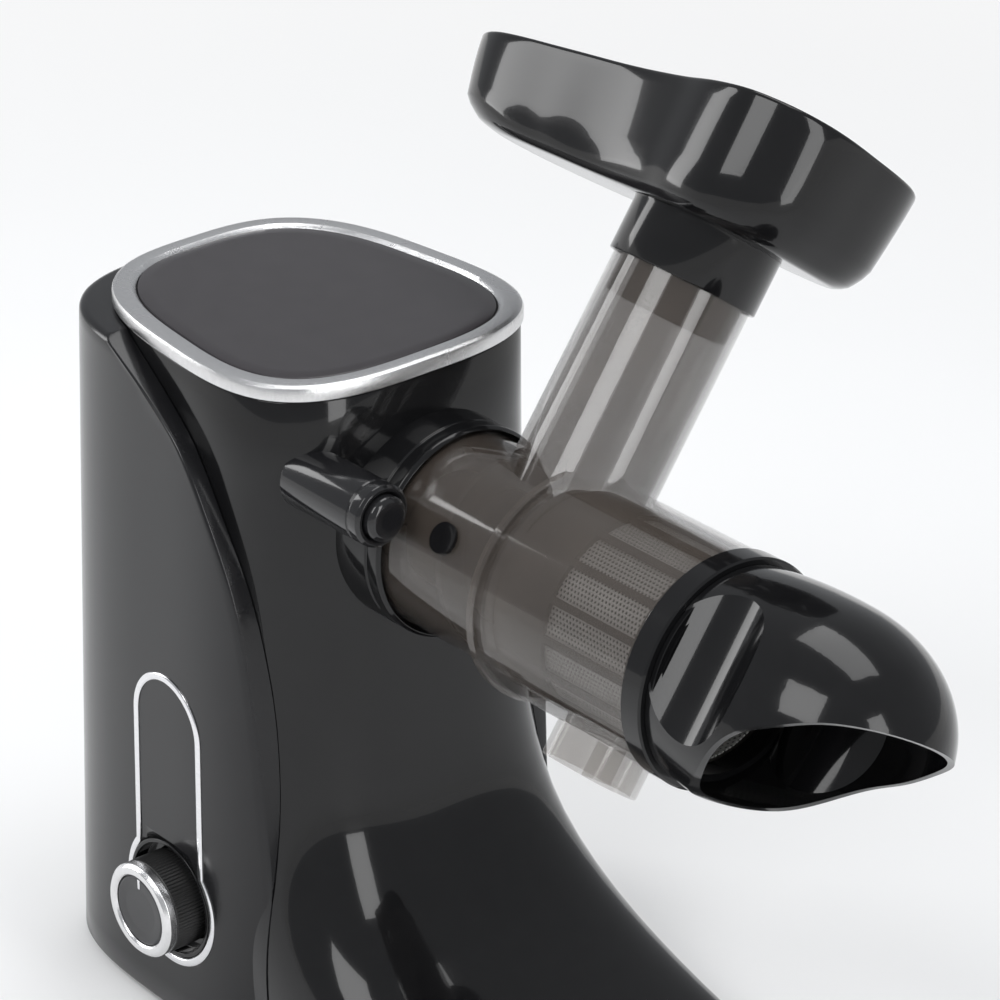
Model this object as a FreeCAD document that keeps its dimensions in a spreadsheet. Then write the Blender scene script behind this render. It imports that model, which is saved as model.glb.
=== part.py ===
import FreeCAD
import Part
import Sketcher
import math
import os
from FreeCAD import Placement, Rotation, Vector

# Cold press juicer: a motor tower on a foot, a horizontal juicing drum that twists in the
# tower's port, a slanting feed chute with a food tray, and a beaked pulp outlet.
# Millimetres. +X runs along the drum towards its nose, +Z is up, and the knob is on the -Y side.
# The origin is on the surface that the juicer stands on, under the middle of the tower.
# Drum pieces are drawn with the chute upright, about the drum's axis, and then tilted.

os.makedirs("parts", exist_ok=True)
doc = FreeCAD.newDocument("juicer")
sheet = doc.addObject("Spreadsheet::Sheet", "dims")

drivingSizes = {
    # tower and foot
    "towerHeight": 305.0,
    "towerHalfLength": 79.0,
    "towerFrontHalfWidth": 79.0,
    "towerRearHalfWidth": 61.0,
    "towerFlare": 4.0,
    "towerWall": 3.0,
    "deckThickness": 3.0,
    "footFront": 240.0,
    "footHalfWidth": 81.0,
    "footEdgeHeight": 19.0,
    "flareStart": 190.0,
    "groundClear": 5.0,
    "basePlateThickness": 3.0,
    "coverRear": 90.0,
    "coverRearHalfWidth": 74.0,
    "coverFrontHalfWidth": 84.0,
    "coverFlare": 8.0,
    "coverFrontFlare": 3.0,
    "coverWall": 3.0,
    "coverGap": 0.5,
    "coverTop": 304.0,
    "coverEdgeTopX": -36.0,
    "coverEdgeMidX": 50.0,
    "coverEdgeLowX": 68.5,
    "coverEdgeMidHeight": 218.0,
    "ringWidth": 9.0,
    "ringHeight": 7.0,
    "ringOverhang": 1.0,
    "panelDrop": 0.8,
    "panelGap": 0.3,
    # drum, in line with its axis
    "drumAxisHeight": 241.5,
    "drumTilt": 36.0,
    "portBore": 42.2,
    "portWall": 3.1,
    "portRimX": 100.7,
    "portFlangeX": 60.0,
    "drumRearX": 84.0,
    "drumRearRadius": 41.9,
    "drumSeamX": 160.0,
    "seamWidth": 4.0,
    "seamProud": 2.0,
    "drumFrontRadius": 46.5,
    "drumFrontX": 250.0,
    "drumWall": 3.0,
    "spigotRadius": 43.5,
    "lockRingX": 245.3,
    "lockRingWidth": 10.9,
    "lockRingRadius": 47.5,
    "turnGap": 0.3,
    "noseNeckRadius": 44.7,
    "noseRadius": 47.3,
    "noseShoulderX": 295.0,
    "noseTipX": 358.5,
    "noseWall": 2.6,
    "scoopRadius": 34.0,
    "scoopX": 275.0,
    "scoopDepth": 11.0,
    "scoopHeight": 4.0,
    "chuteX": 144.5,
    "chuteRadius": 29.6,
    "chuteWall": 3.0,
    "chuteTop": 150.0,
    "spoutX": 215.0,
    "spoutLength": 45.0,
    "spoutWidth": 26.0,
    "spoutWall": 2.4,
    "spoutDrop": 60.0,
    "strainerRadius": 41.5,
    "strainerX": 166.0,
    "strainerWall": 2.0,
    "meshThickness": 0.6,
    "windowLength": 46.0,
    "windowX": 194.0,
    "windowWidth": 13.0,
    "markRadius": 6.5,
    # feed tray
    "collarBottom": 127.2,
    "collarRadius": 31.7,
    "neckBottom": 112.0,
    "neckWall": 2.0,
    "trayBottom": 151.0,
    "trayRim": 196.0,
    "trayWall": 2.6,
    "trayFront": 64.0,
    "trayRear": 150.0,
    "trayHalfWidth": 52.0,
    "trayRearHalfWidth": 30.0,
    "trayPitch": 4.5,
    "trayRoll": -4.0,
    # auger and drive
    "augerRadius": 37.5,
    "augerCoreRear": 24.0,
    "augerCoreFront": 32.0,
    "augerRearX": 92.0,
    "augerFrontX": 248.0,
    "augerPitch": 38.0,
    "flightThickness": 5.0,
    "driveShaftRadius": 9.0,
    "motorRadius": 38.0,
    "motorLength": 78.0,
    "motorGap": 0.8,
    "gearboxRear": 22.0,
    "gearboxWall": 3.0,
    "gearWidth": 11.0,
    "pinionRadius": 7.0,
    "wheelRadius": 31.5,
    "smallWheelRadius": 9.0,
    "outputRadius": 38.0,
    "axleRadius": 4.0,
    "runningGap": 0.05,
    # controls
    "bossY": -51.5,
    "bossZ": 270.0,
    "bossRadius": 13.2,
    "bossFront": 112.0,
    "buttonRadius": 9.5,
    "buttonProud": 4.5,
    "buttonTravel": 4.0,
    "knobX": 6.0,
    "knobZ": 60.0,
    "knobRadius": 21.0,
    "knobDepth": 17.0,
    "knobShaftRadius": 3.0,
    "dishRadius": 27.0,
    "trimWidth": 3.2,
    "trimHeight": 166.0,
    "trimHalfWidth": 22.0,
    "trimProud": 0.8,
    "glandRadius": 9.0,
    "glandBore": 3.6,
    "footRadius": 11.0,
}

for row, (name, value) in enumerate(drivingSizes.items(), start=1):
    sheet.set("A%d" % row, name)
    sheet.set("B%d" % row, str(value))
    sheet.setAlias("B%d" % row, name)
doc.recompute()


class Size:
    """A length with its worked-out value and the sheet expression that gives it."""

    def __init__(self, value, text):
        self.value = value
        self.text = text

    def join(self, other, sign, result):
        text = other.text if isinstance(other, Size) else repr(float(other))
        return Size(result, "(%s %s %s)" % (self.text, sign, text))

    def __add__(self, other):
        return self.join(other, "+", self.value + plain(other))

    def __sub__(self, other):
        return self.join(other, "-", self.value - plain(other))

    def __mul__(self, other):
        return self.join(other, "*", self.value * plain(other))

    def __truediv__(self, other):
        return self.join(other, "/", self.value / plain(other))

    def __neg__(self):
        return Size(-self.value, "(0 - %s)" % self.text)


def plain(number):
    return number.value if isinstance(number, Size) else float(number)


def fixed(number):
    return number if isinstance(number, Size) else Size(float(number), repr(float(number)))


def dim(name):
    return Size(float(sheet.get(name)), "dims." + name)


nothing = fixed(0)
pieces = {}


def bind(item, path, number):
    number = fixed(number)
    item.setExpression(path, number.text)


def place(item, where=(0, 0, 0), tilted=False):
    """Put an object at a point, or on the drum's axis with the drum's tilt."""
    if tilted:
        where = (where[0], where[1], dim("drumAxisHeight"))
        item.Placement = Placement(Vector(0, 0, 0), Rotation(Vector(1, 0, 0), -dim("drumTilt").value))
        bind(item, "Placement.Rotation.Angle", -dim("drumTilt"))
    for axis, number in zip("xyz", where):
        bind(item, "Placement.Base." + axis, number)


def keep(item, label):
    item.Label = label
    pieces[label] = item
    return item


def originPlane(body, role):
    for feature in body.Origin.OriginFeatures:
        if feature.Role == role:
            return feature


def outlineSketch(body, role, outline):
    """A closed outline of straight edges, with every corner bound to the sheet."""
    sketch = body.newObject("Sketcher::SketchObject", "outline")
    sketch.AttachmentSupport = [(originPlane(body, role), "")]
    sketch.MapMode = "FlatFace"
    corners = [(fixed(across), fixed(along)) for across, along in outline]
    count = len(corners)
    for index in range(count):
        start, end = corners[index], corners[(index + 1) % count]
        sketch.addGeometry(Part.LineSegment(Vector(start[0].value, start[1].value, 0),
                                            Vector(end[0].value, end[1].value, 0)), False)
    for index in range(count):
        sketch.addConstraint(Sketcher.Constraint("Coincident", index, 2, (index + 1) % count, 1))
    for index, (across, along) in enumerate(corners):
        for kind, number in (("DistanceX", across), ("DistanceY", along)):
            spot = sketch.addConstraint(Sketcher.Constraint(kind, index, 1, number.value))
            sketch.setExpression("Constraints[%d]" % spot, number.text)
    return sketch


def turned(name, about, outline):
    """A body of revolution. Each corner of the outline is (along the axis, radius)."""
    body = doc.addObject("PartDesign::Body", name)
    if about == "X":
        sketch = outlineSketch(body, "XY_Plane", outline)
        axis = "H_Axis"
    else:
        swapped = [(radius, along) for along, radius in outline]
        sketch = outlineSketch(body, "XY_Plane" if about == "Y" else "XZ_Plane", swapped)
        axis = "V_Axis"
    spin = body.newObject("PartDesign::Revolution", "spin")
    spin.Profile = sketch
    spin.ReferenceAxis = (sketch, [axis])
    spin.Angle = 360.0
    return body


def block(name, low, high):
    box = doc.addObject("Part::Box", name)
    for side, axis, start, end in zip(("Length", "Width", "Height"), "xyz", low, high):
        bind(box, side, fixed(end) - fixed(start))
        bind(box, "Placement.Base." + axis, fixed(start))
    return box


def rod(name, about, start, end, centre, radius):
    """A straight cylinder between two places on a row axis."""
    item = doc.addObject("Part::Cylinder", name)
    turns = {"X": Rotation(Vector(0, 1, 0), 90), "Y": Rotation(Vector(1, 0, 0), -90), "Z": Rotation()}
    item.Placement = Placement(Vector(0, 0, 0), turns[about])
    spots = {"X": (start, centre[0], centre[1]), "Y": (centre[0], start, centre[1]),
             "Z": (centre[0], centre[1], start)}
    for axis, number in zip("xyz", spots[about]):
        bind(item, "Placement.Base." + axis, number)
    bind(item, "Radius", radius)
    bind(item, "Height", fixed(end) - fixed(start))
    return item


def joined(name, items):
    item = doc.addObject("Part::MultiFuse", name)
    item.Shapes = items
    return item


def cutBy(name, base, tools):
    item = doc.addObject("Part::Cut", name)
    item.Base = base
    item.Tool = tools[0] if len(tools) == 1 else joined(name + "Tools", tools)
    return item


def formed(name, shape):
    item = doc.addObject("Part::Feature", name)
    item.Shape = shape
    return item


# Tower plan: a rounded trapezoid that is wider at the front than at the rear. Low down, the
# front sweeps out in a hollow curve to a long low foot.
planPoints = 36
planPower = 3.1
footPower = 4.6
sweepLevels = [0.0, 0.25, 0.6, 1.0, 1.4, 1.8, 2.3, 3.0, 4.0, 5.3, 7.4]


def planWire(height, front, rear, frontHalf, rearHalf, power):
    middle = (front + rear) / 2.0
    half = (front - rear) / 2.0
    level = dim("towerHalfLength").value
    points = []
    for step in range(planPoints):
        angle = 2.0 * math.pi * step / planPoints
        across, along = math.cos(angle), math.sin(angle)
        x = middle + half * math.copysign(abs(across) ** (2.0 / power), across)
        share = (x - rear) / (level - rear)
        width = rearHalf + (frontHalf - rearHalf) * min(1.0, share)
        y = width * math.copysign(abs(along) ** (2.0 / power), along)
        points.append(Vector(x, y, height))
    curve = Part.BSplineCurve()
    curve.interpolate(points, True)
    return Part.Wire([curve.toShape()])


def sweepShare(height):
    """How far the front stands out at a height: 1 at the foot's edge, 0 where the sweep starts."""
    edge, start = dim("footEdgeHeight").value, dim("flareStart").value
    if height >= start:
        return 0.0
    if height <= edge:
        return 1.0 - 0.02 * ((edge - height) / edge) ** 2
    rest = 1.0 - (height - edge) / (start - edge)
    return 0.8 * rest ** 5.5 + 0.2 * rest ** 2


def towerPlan(height, grow=0.0):
    top = dim("towerHeight").value
    spread = dim("towerFlare").value * (1.0 - height / top)
    share = sweepShare(height - min(0.0, grow))
    reach = dim("footFront").value - dim("towerHalfLength").value
    frontHalf = dim("towerFrontHalfWidth").value + spread
    frontHalf += (dim("footHalfWidth").value - frontHalf) * share
    return planWire(height,
                    dim("towerHalfLength").value + reach * share + grow,
                    -dim("towerHalfLength").value - spread - grow,
                    frontHalf + grow,
                    dim("towerRearHalfWidth").value + spread + grow,
                    planPower + (footPower - planPower) * share)


def towerSolid(low, high, grow=0.0):
    edge = dim("footEdgeHeight").value
    heights = [low] + [edge * level for level in sweepLevels if low + 2.0 < edge * level]
    heights += [dim("flareStart").value, (dim("flareStart").value + high) / 2.0, high]
    return Part.makeLoft([towerPlan(height, grow) for height in heights], True, True)


def coverPlan(height, grow=0.0):
    spread = 1.0 - height / dim("towerHeight").value
    flare = dim("coverFlare").value * spread
    return planWire(height,
                    dim("towerHalfLength").value + 12.0 + grow,
                    -dim("coverRear").value - flare - grow,
                    dim("coverFrontHalfWidth").value + dim("coverFrontFlare").value * spread + grow,
                    dim("coverRearHalfWidth").value + flare + grow,
                    planPower + 0.3)


def coverSolid(low, high, grow=0.0):
    return Part.makeLoft([coverPlan(low, grow), coverPlan((low + high) / 2.0, grow), coverPlan(high, grow)],
                         True, False)


def coverRegion(shift=0.0):
    """The rear region of the tower, bounded by the sweeping edge that is seen from the side."""
    low, middle, high = dim("coverEdgeLowX").value, dim("coverEdgeMidX").value, dim("coverEdgeTopX").value
    rise, top = dim("coverEdgeMidHeight").value, dim("coverTop").value
    edge = [Vector(low + shift, 0, -1.0),
            Vector(low - 6.0 + shift, 0, rise * 0.62),
            Vector(middle + shift, 0, rise),
            Vector(middle * 0.37 + shift, 0, top - 30.0 + shift),
            Vector(high + shift, 0, top + shift),
            Vector(high - 24.0 + shift, 0, top + 10.0)]
    curve = Part.BSplineCurve()
    curve.interpolate(edge)
    back = -2.0 * dim("towerHalfLength").value
    upper = edge[-1].z
    outline = [curve.toShape(),
               Part.makeLine(edge[-1], Vector(back, 0, upper)),
               Part.makeLine(Vector(back, 0, upper), Vector(back, 0, -1.0)),
               Part.makeLine(Vector(back, 0, -1.0), edge[0])]
    region = Part.Face(Part.Wire(outline)).extrude(Vector(0, 300.0, 0))
    region.translate(Vector(0, -150.0, 0))
    return region


def hole(about, start, end, centre, radius):
    directions = {"X": Vector(1, 0, 0), "Y": Vector(0, 1, 0), "Z": Vector(0, 0, 1)}
    spots = {"X": Vector(start, centre[0], centre[1]), "Y": Vector(centre[0], start, centre[1]),
             "Z": Vector(centre[0], centre[1], start)}
    return Part.makeCylinder(radius, end - start, spots[about], directions[about])


# Faces that the knob's dish stands between, at the knob's own place

knobX, knobZ = dim("knobX"), dim("knobZ")
spread = fixed(1) - knobZ / dim("towerHeight")
coverRear = dim("coverRear") + dim("coverFlare") * spread
coverRearHalf = dim("coverRearHalfWidth") + dim("coverFlare") * spread
coverFrontHalf = dim("coverFrontHalfWidth") + dim("coverFrontFlare") * spread
coverShare = (knobX + coverRear) / (dim("towerHalfLength") + coverRear)
coverFaceY = -(coverRearHalf + (coverFrontHalf - coverRearHalf) * coverShare)
coreRear = dim("towerHalfLength") + dim("towerFlare") * spread
coreRearHalf = dim("towerRearHalfWidth") + dim("towerFlare") * spread
coreWiden = dim("towerFrontHalfWidth") - dim("towerRearHalfWidth")
coreShare = (knobX + coreRear) / (dim("towerHalfLength") + coreRear)
wallY = -(coreRearHalf + coreWiden * coreShare)
dishRear = wallY - 3.1


def makeTower():
    low = dim("groundClear").value
    top = dim("towerHeight").value
    wall = dim("towerWall").value
    plate = dim("basePlateThickness").value
    axisHeight = dim("drumAxisHeight").value
    portRadius = dim("portBore").value + dim("portWall").value + 0.2
    bossSpot = (dim("bossY").value, dim("bossZ").value)
    knobSpot = (dim("knobX").value, dim("knobZ").value)
    glandSpot = (0, low + 20.0)
    front, side = dim("towerHalfLength").value, -dim("coverFrontHalfWidth").value
    glandHole = hole("X", -dim("coverRear").value - 20.0, -front + 10.0, glandSpot,
                     dim("glandRadius").value + 0.1)

    shell = towerSolid(low, top).cut(towerSolid(low + plate, top - dim("deckThickness").value, -wall))
    shell = shell.cut(Part.Face(towerPlan(low, -wall - 1.0)).extrude(Vector(0, 0, plate + 0.2)))
    shell = shell.cut(hole("X", front - 20.0, front + 20.0, (0, axisHeight), portRadius))
    shell = shell.cut(hole("X", front - 30.0, front + 20.0, bossSpot, dim("bossRadius").value + 0.2))
    shell = shell.cut(hole("Y", side - 20.0, side + 30.0, knobSpot, dim("knobShaftRadius").value + 1.5))
    shell = shell.cut(hole("Y", side - 20.0, dishRear.value, knobSpot, dim("dishRadius").value))
    keep(formed("frontHousing", shell.cut(glandHole)), "front_housing")

    coverTop, thick = dim("coverTop").value, dim("coverWall").value
    core = towerSolid(low - 1.0, top, dim("coverGap").value)
    cover = coverSolid(low, coverTop).common(coverRegion()).cut(core)
    room = coverSolid(low - 1.0, coverTop - thick, -thick).common(coverRegion(-thick)).cut(core)
    cover = cover.cut(room)
    cover = cover.cut(hole("Y", side - 30.0, side + 20.0, knobSpot, dim("dishRadius").value))
    keep(formed("rearCover", cover.cut(glandHole)), "rear_cover")

    plateSolid = Part.Face(towerPlan(low, -wall - 1.1)).extrude(Vector(0, 0, plate))
    keep(formed("basePlate", plateSolid), "base_plate")

    grow = dim("ringOverhang").value
    inset = grow - dim("ringWidth").value
    height = dim("ringHeight").value
    outer = Part.Face(towerPlan(top, grow)).extrude(Vector(0, 0, height))
    inner = Part.Face(towerPlan(top, inset)).extrude(Vector(0, 0, height))
    keep(formed("topRing", outer.cut(inner)), "top_ring")
    panelPlan = Part.Face(towerPlan(top, inset - dim("panelGap").value))
    keep(formed("topPanel", panelPlan.extrude(Vector(0, 0, height - dim("panelDrop").value))), "top_panel")


makeTower()


def makeFeet():
    radius = dim("footRadius")
    spots = {"1": (-62, -48), "2": (-62, 48), "3": (205, -52), "4": (205, 52), "5": (0, 0)}
    for number, (x, y) in spots.items():
        foot = turned("rubberFoot" + number, "Z", [
            (0, 0), (0, radius - 1.5), (1.5, radius), (dim("groundClear"), radius - 1.0),
            (dim("groundClear"), 0)])
        place(foot, (fixed(x), fixed(y), nothing))
        keep(foot, "rubber_foot_" + number)


makeFeet()


# Port and release button on the tower's front

axisZ = dim("drumAxisHeight")
portOut = dim("portBore") + dim("portWall")

port = turned("portRing", "X", [
    (dim("portFlangeX"), dim("portBore")), (dim("portRimX") - 1.5, dim("portBore")),
    (dim("portRimX"), dim("portBore") + 1.4), (dim("portRimX"), portOut - 1.2),
    (dim("portRimX") - 1.2, portOut), (dim("portFlangeX") + 3, portOut),
    (dim("portFlangeX") + 3, portOut + 3), (dim("portFlangeX"), portOut + 3)])
place(port, (nothing, nothing, axisZ))
keep(port, "port_ring")

bossY, bossZ = dim("bossY"), dim("bossZ")
bossRear = dim("portFlangeX") + 3.5
boss = turned("buttonBoss", "X", [
    (bossRear, dim("buttonRadius") + 0.3), (dim("bossFront") - 1, dim("buttonRadius") + 0.3),
    (dim("bossFront"), dim("buttonRadius") + 1.2), (dim("bossFront"), dim("bossRadius") - 1.4),
    (dim("bossFront") - 1.4, dim("bossRadius")), (bossRear, dim("bossRadius"))])
place(boss, (nothing, bossY, bossZ))
keep(boss, "button_boss")

buttonFront = dim("bossFront") + dim("buttonProud")
buttonRear = dim("bossFront") - 12
button = turned("releaseButton", "X", [
    (buttonRear, 0), (buttonRear, dim("buttonRadius")), (buttonFront - 2, dim("buttonRadius")),
    (buttonFront - 0.4, dim("buttonRadius") - 2), (buttonFront, dim("buttonRadius") * 0.4),
    (buttonFront - 0.3, 0)])
place(button, (nothing, bossY, bossZ))
keep(button, "release_button")

springStop = bossRear + 4
stop = turned("springStop", "X", [(bossRear, 0), (springStop, 0), (springStop, dim("buttonRadius") + 0.2),
                                  (bossRear, dim("buttonRadius") + 0.2)])
place(stop, (nothing, bossY, bossZ))
keep(stop, "spring_stop")


def makeSpring():
    """Return spring behind the button, wound as a plain helix."""
    start = springStop.value
    end = buttonRear.value - 0.1
    wire, radius, turns = 0.6, 6.0, 6.0
    helix = Part.makeHelix((end - start - 2.0 * wire) / turns, end - start - 2.0 * wire, radius)
    sides = 8
    corners = []
    for side in range(sides + 1):
        angle = 2.0 * math.pi * (side % sides + 0.5) / sides
        corners.append(Vector(radius + wire * math.cos(angle), 0, wire * math.sin(angle)))
    coil = Part.Wire(helix.Edges).makePipeShell([Part.makePolygon(corners)], True, True)
    coil.Placement = Placement(Vector(start + wire, bossY.value, bossZ.value), Rotation(Vector(0, 1, 0), 90))
    keep(formed("buttonSpring", coil), "button_spring")


makeSpring()


# Knob, its dish and the trim loop on the side

dish = turned("knobDish", "Y", [
    (dishRear, dim("knobShaftRadius") + 1.0), (dishRear, dim("dishRadius") - 0.3),
    (coverFaceY - 0.6, dim("dishRadius") - 0.3), (coverFaceY - 0.6, dim("dishRadius") - 2.0),
    (dishRear - 1.2, dim("dishRadius") - 2.4), (dishRear - 1.2, dim("knobShaftRadius") + 1.0)])
place(dish, (knobX, nothing, knobZ))
keep(dish, "knob_dish")

gripRear = dishRear - 1.7
gripFront = coverFaceY - dim("knobDepth") + 5
ringFront = coverFaceY - dim("knobDepth")
grip = turned("knobGrip", "Y", [
    (gripRear, dim("knobShaftRadius")), (gripRear, dim("knobRadius") - 1),
    (gripRear - 1, dim("knobRadius")), (gripFront, dim("knobRadius")),
    (gripFront, dim("knobShaftRadius"))])
place(grip, (knobX, nothing, knobZ))
keep(grip, "knob_grip")
bezel = turned("knobBezel", "Y", [
    (gripFront, dim("knobRadius") - 5.2), (gripFront, dim("knobRadius")),
    (ringFront + 0.6, dim("knobRadius")), (ringFront, dim("knobRadius") - 0.6),
    (ringFront, dim("knobRadius") - 4.6), (ringFront + 0.6, dim("knobRadius") - 5.2)])
place(bezel, (knobX, nothing, knobZ))
keep(bezel, "knob_bezel")
face = turned("knobFace", "Y", [
    (gripFront, 0), (gripFront, dim("knobRadius") - 5.4), (ringFront + 0.8, dim("knobRadius") - 5.4),
    (ringFront + 0.8, 0)])
place(face, (knobX, nothing, knobZ))
keep(face, "knob_face")
switchFront = wallY + dim("towerWall") + 2.8
shaft = rod("knobShaft", "Y", gripFront, switchFront + 4, (knobX, knobZ), dim("knobShaftRadius"))
keep(shaft, "knob_shaft")
switchBody = block("switchBody", (knobX - 13, switchFront, knobZ - 13), (knobX + 13, switchFront + 16, knobZ + 13))
switchBore = rod("switchBore", "Y", switchFront - 1, switchFront + 5, (knobX, knobZ),
                 dim("knobShaftRadius") + dim("runningGap"))
keep(cutBy("rotarySwitch", switchBody, [switchBore]), "rotary_switch")


def makeTrim():
    """Flat metal loop: an arch above, a waist, and a round stretch about the knob dish."""
    width = dim("trimWidth").value
    archHalf = dim("trimHalfWidth").value
    archZ = dim("trimHeight").value - archHalf - width / 2.0
    discHalf = dim("dishRadius").value + width / 2.0 + 0.3
    centreX, centreZ = knobX.value, knobZ.value
    outer, inner = width / 2.0, -width / 2.0

    def loop(grow):
        arch = Part.makeCylinder(archHalf + grow, 40.0, Vector(centreX, 0, archZ), Vector(0, -1, 0))
        straight = Part.makeBox(2.0 * (archHalf + grow), 40.0, archZ - centreZ,
                                Vector(centreX - archHalf - grow, -40.0, centreZ))
        disc = Part.makeCylinder(discHalf + grow, 40.0, Vector(centreX, 0, centreZ), Vector(0, -1, 0))
        solid = arch.fuse(straight).fuse(disc).removeSplitter()
        solid.translate(Vector(0, -60.0, 0))
        return solid

    band = loop(outer).cut(loop(inner))
    low, high = dim("groundClear").value, dim("coverTop").value
    layer = coverSolid(low, high, dim("trimProud").value).cut(coverSolid(low - 1.0, high + 1.0))
    keep(formed("sideTrim", band.common(layer)), "side_trim")


makeTrim()

glandZ = dim("groundClear") + 20
glandFace = -(dim("coverRear") + dim("coverFlare")) - 2
gland = turned("cordGland", "X", [
    (glandFace, dim("glandBore")), (glandFace, dim("glandRadius") - 2), (glandFace + 3, dim("glandRadius") - 0.2),
    (glandFace + 22, dim("glandRadius") - 0.2), (glandFace + 22, dim("glandBore"))])
place(gland, (nothing, nothing, glandZ))
keep(gland, "cord_gland")


# Gear train and motor inside the tower

gearRear = dim("gearboxRear") + dim("gearboxWall") + 1
counterZ = axisZ - dim("outputRadius") - dim("smallWheelRadius") - 0.1
motorZ = counterZ - dim("wheelRadius") - dim("pinionRadius") - 0.1
gearboxFront = dim("portFlangeX")
boxHalf = dim("outputRadius") + 6
boxLow = motorZ - 14
boxHigh = axisZ + dim("outputRadius") + 6
gearCase = block("gearCase", (dim("gearboxRear"), -boxHalf, boxLow), (gearboxFront, boxHalf, boxHigh))
caseWall = dim("gearboxWall")
gearRoom = block("gearRoom", (dim("gearboxRear") + caseWall, -boxHalf + caseWall, boxLow + caseWall),
                 (gearboxFront - caseWall, boxHalf - caseWall, boxHigh - caseWall))
bearingRadius = dim("driveShaftRadius") + 5
motorBore = rod("motorBore", "X", dim("gearboxRear") - 1, dim("gearboxRear") + 6, (nothing, motorZ),
                dim("axleRadius") + 1)
driveBore = rod("driveBore", "X", gearboxFront - 6, gearboxFront + 1, (nothing, axisZ), bearingRadius + 0.1)
keep(cutBy("gearbox", gearCase, [gearRoom, motorBore, driveBore]), "gearbox_housing")

bearing = turned("frontBearing", "X", [
    (gearboxFront - caseWall, dim("driveShaftRadius") + dim("runningGap")),
    (gearboxFront + 6, dim("driveShaftRadius") + dim("runningGap")),
    (gearboxFront + 6, bearingRadius), (gearboxFront - caseWall, bearingRadius)])
place(bearing, (nothing, nothing, axisZ))
keep(bearing, "front_bearing")

wheelFront = gearRear + dim("gearWidth")
smallRear = wheelFront + 1
smallFront = smallRear + dim("gearWidth")
outputGear = turned("outputGear", "X", [
    (smallRear, dim("driveShaftRadius")), (smallRear, dim("outputRadius")),
    (smallFront, dim("outputRadius")), (smallFront, dim("driveShaftRadius"))])
place(outputGear, (nothing, nothing, axisZ))
keep(outputGear, "output_gear")
shaftFront = dim("augerRearX") + 22
driveShaft = rod("driveShaft", "X", smallRear - 1, shaftFront, (nothing, axisZ), dim("driveShaftRadius"))
keep(driveShaft, "drive_shaft")

counterGear = turned("counterGear", "X", [
    (gearRear, dim("axleRadius")), (gearRear, dim("wheelRadius")), (wheelFront, dim("wheelRadius")),
    (wheelFront, dim("smallWheelRadius")), (smallFront, dim("smallWheelRadius")),
    (smallFront, dim("axleRadius"))])
place(counterGear, (nothing, nothing, counterZ))
keep(counterGear, "counter_gear")
counterAxle = rod("counterAxle", "X", dim("gearboxRear") + caseWall, gearboxFront - caseWall, (nothing, counterZ),
                  dim("axleRadius") - dim("runningGap"))
keep(counterAxle, "counter_axle")

pinion = turned("motorPinion", "X", [
    (gearRear, dim("axleRadius")), (gearRear, dim("pinionRadius")), (wheelFront, dim("pinionRadius")),
    (wheelFront, dim("axleRadius"))])
place(pinion, (nothing, nothing, motorZ))
keep(pinion, "motor_pinion")
motorFront = dim("gearboxRear")
motorRear = motorFront - dim("motorLength")
can = turned("motorCan", "X", [
    (motorRear, dim("axleRadius") + 0.4), (motorRear, dim("motorRadius")), (motorFront, dim("motorRadius")),
    (motorFront, dim("axleRadius") + 0.4), (motorFront - 3, dim("axleRadius") + 0.4),
    (motorFront - 3, dim("motorRadius") - 9), (motorRear + 3, dim("motorRadius") - 9),
    (motorRear + 3, dim("axleRadius") + 0.4)])
place(can, (nothing, nothing, motorZ))
keep(can, "motor_can")
rotorRadius = dim("motorRadius") - 9 - dim("motorGap")
rotor = turned("motorRotor", "X", [
    (motorRear + 8, dim("axleRadius")), (motorRear + 8, rotorRadius), (motorFront - 8, rotorRadius),
    (motorFront - 8, dim("axleRadius"))])
place(rotor, (nothing, nothing, motorZ))
keep(rotor, "motor_rotor")
motorShaft = rod("motorShaft", "X", motorRear - 9, wheelFront, (nothing, motorZ), dim("axleRadius"))
keep(motorShaft, "motor_shaft")
fanFront = motorRear - 1.5
fan = turned("coolingFan", "X", [
    (fanFront - 7, dim("axleRadius")), (fanFront - 7, dim("axleRadius") + 5),
    (fanFront - 5.5, dim("motorRadius") - 6), (fanFront - 4, dim("motorRadius") - 6),
    (fanFront, dim("axleRadius") + 5), (fanFront, dim("axleRadius"))])
place(fan, (nothing, nothing, motorZ))
keep(fan, "cooling_fan")

plateTop = dim("groundClear") + dim("basePlateThickness")
standLow = motorRear + 18
stand = block("standBlock", (standLow, -22, plateTop), (motorFront - 18, 22, motorZ - dim("motorRadius") + 6))
saddle = rod("saddle", "X", standLow - 1, motorFront - 17, (nothing, motorZ), dim("motorRadius") + 0.05)
keep(cutBy("motorStand", stand, [saddle]), "motor_stand")

boardLow = plateTop + 6
board = block("board", (-54, 24, boardLow), (44, 55, boardLow + 1.6))
chips = [block("relay", (-46, 30, boardLow + 1.6), (-22, 49, boardLow + 17)),
         block("controller", (-14, 31, boardLow + 1.6), (6, 49, boardLow + 4)),
         rod("capacitor", "Z", boardLow + 1.6, boardLow + 26, (22, 40), 9)]
keep(joined("circuitBoard", [board] + chips), "circuit_board")
spacers = [rod("spacer%d" % index, "Z", plateTop, boardLow, (x, y), 3)
           for index, (x, y) in enumerate([(-50, 28), (-50, 51), (40, 28), (40, 51)])]
keep(joined("boardSpacers", spacers), "board_spacers")
interlock = block("interlock", (gearboxFront - 22, -10, boxHigh), (gearboxFront - 2, 10, boxHigh + 12))
keep(interlock, "interlock_switch")


# Drum, with the chute upright before the tilt

def discAlong(radius, start, end):
    return Part.makeCylinder(radius, end - start, Vector(start, 0, 0), Vector(1, 0, 0))


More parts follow.
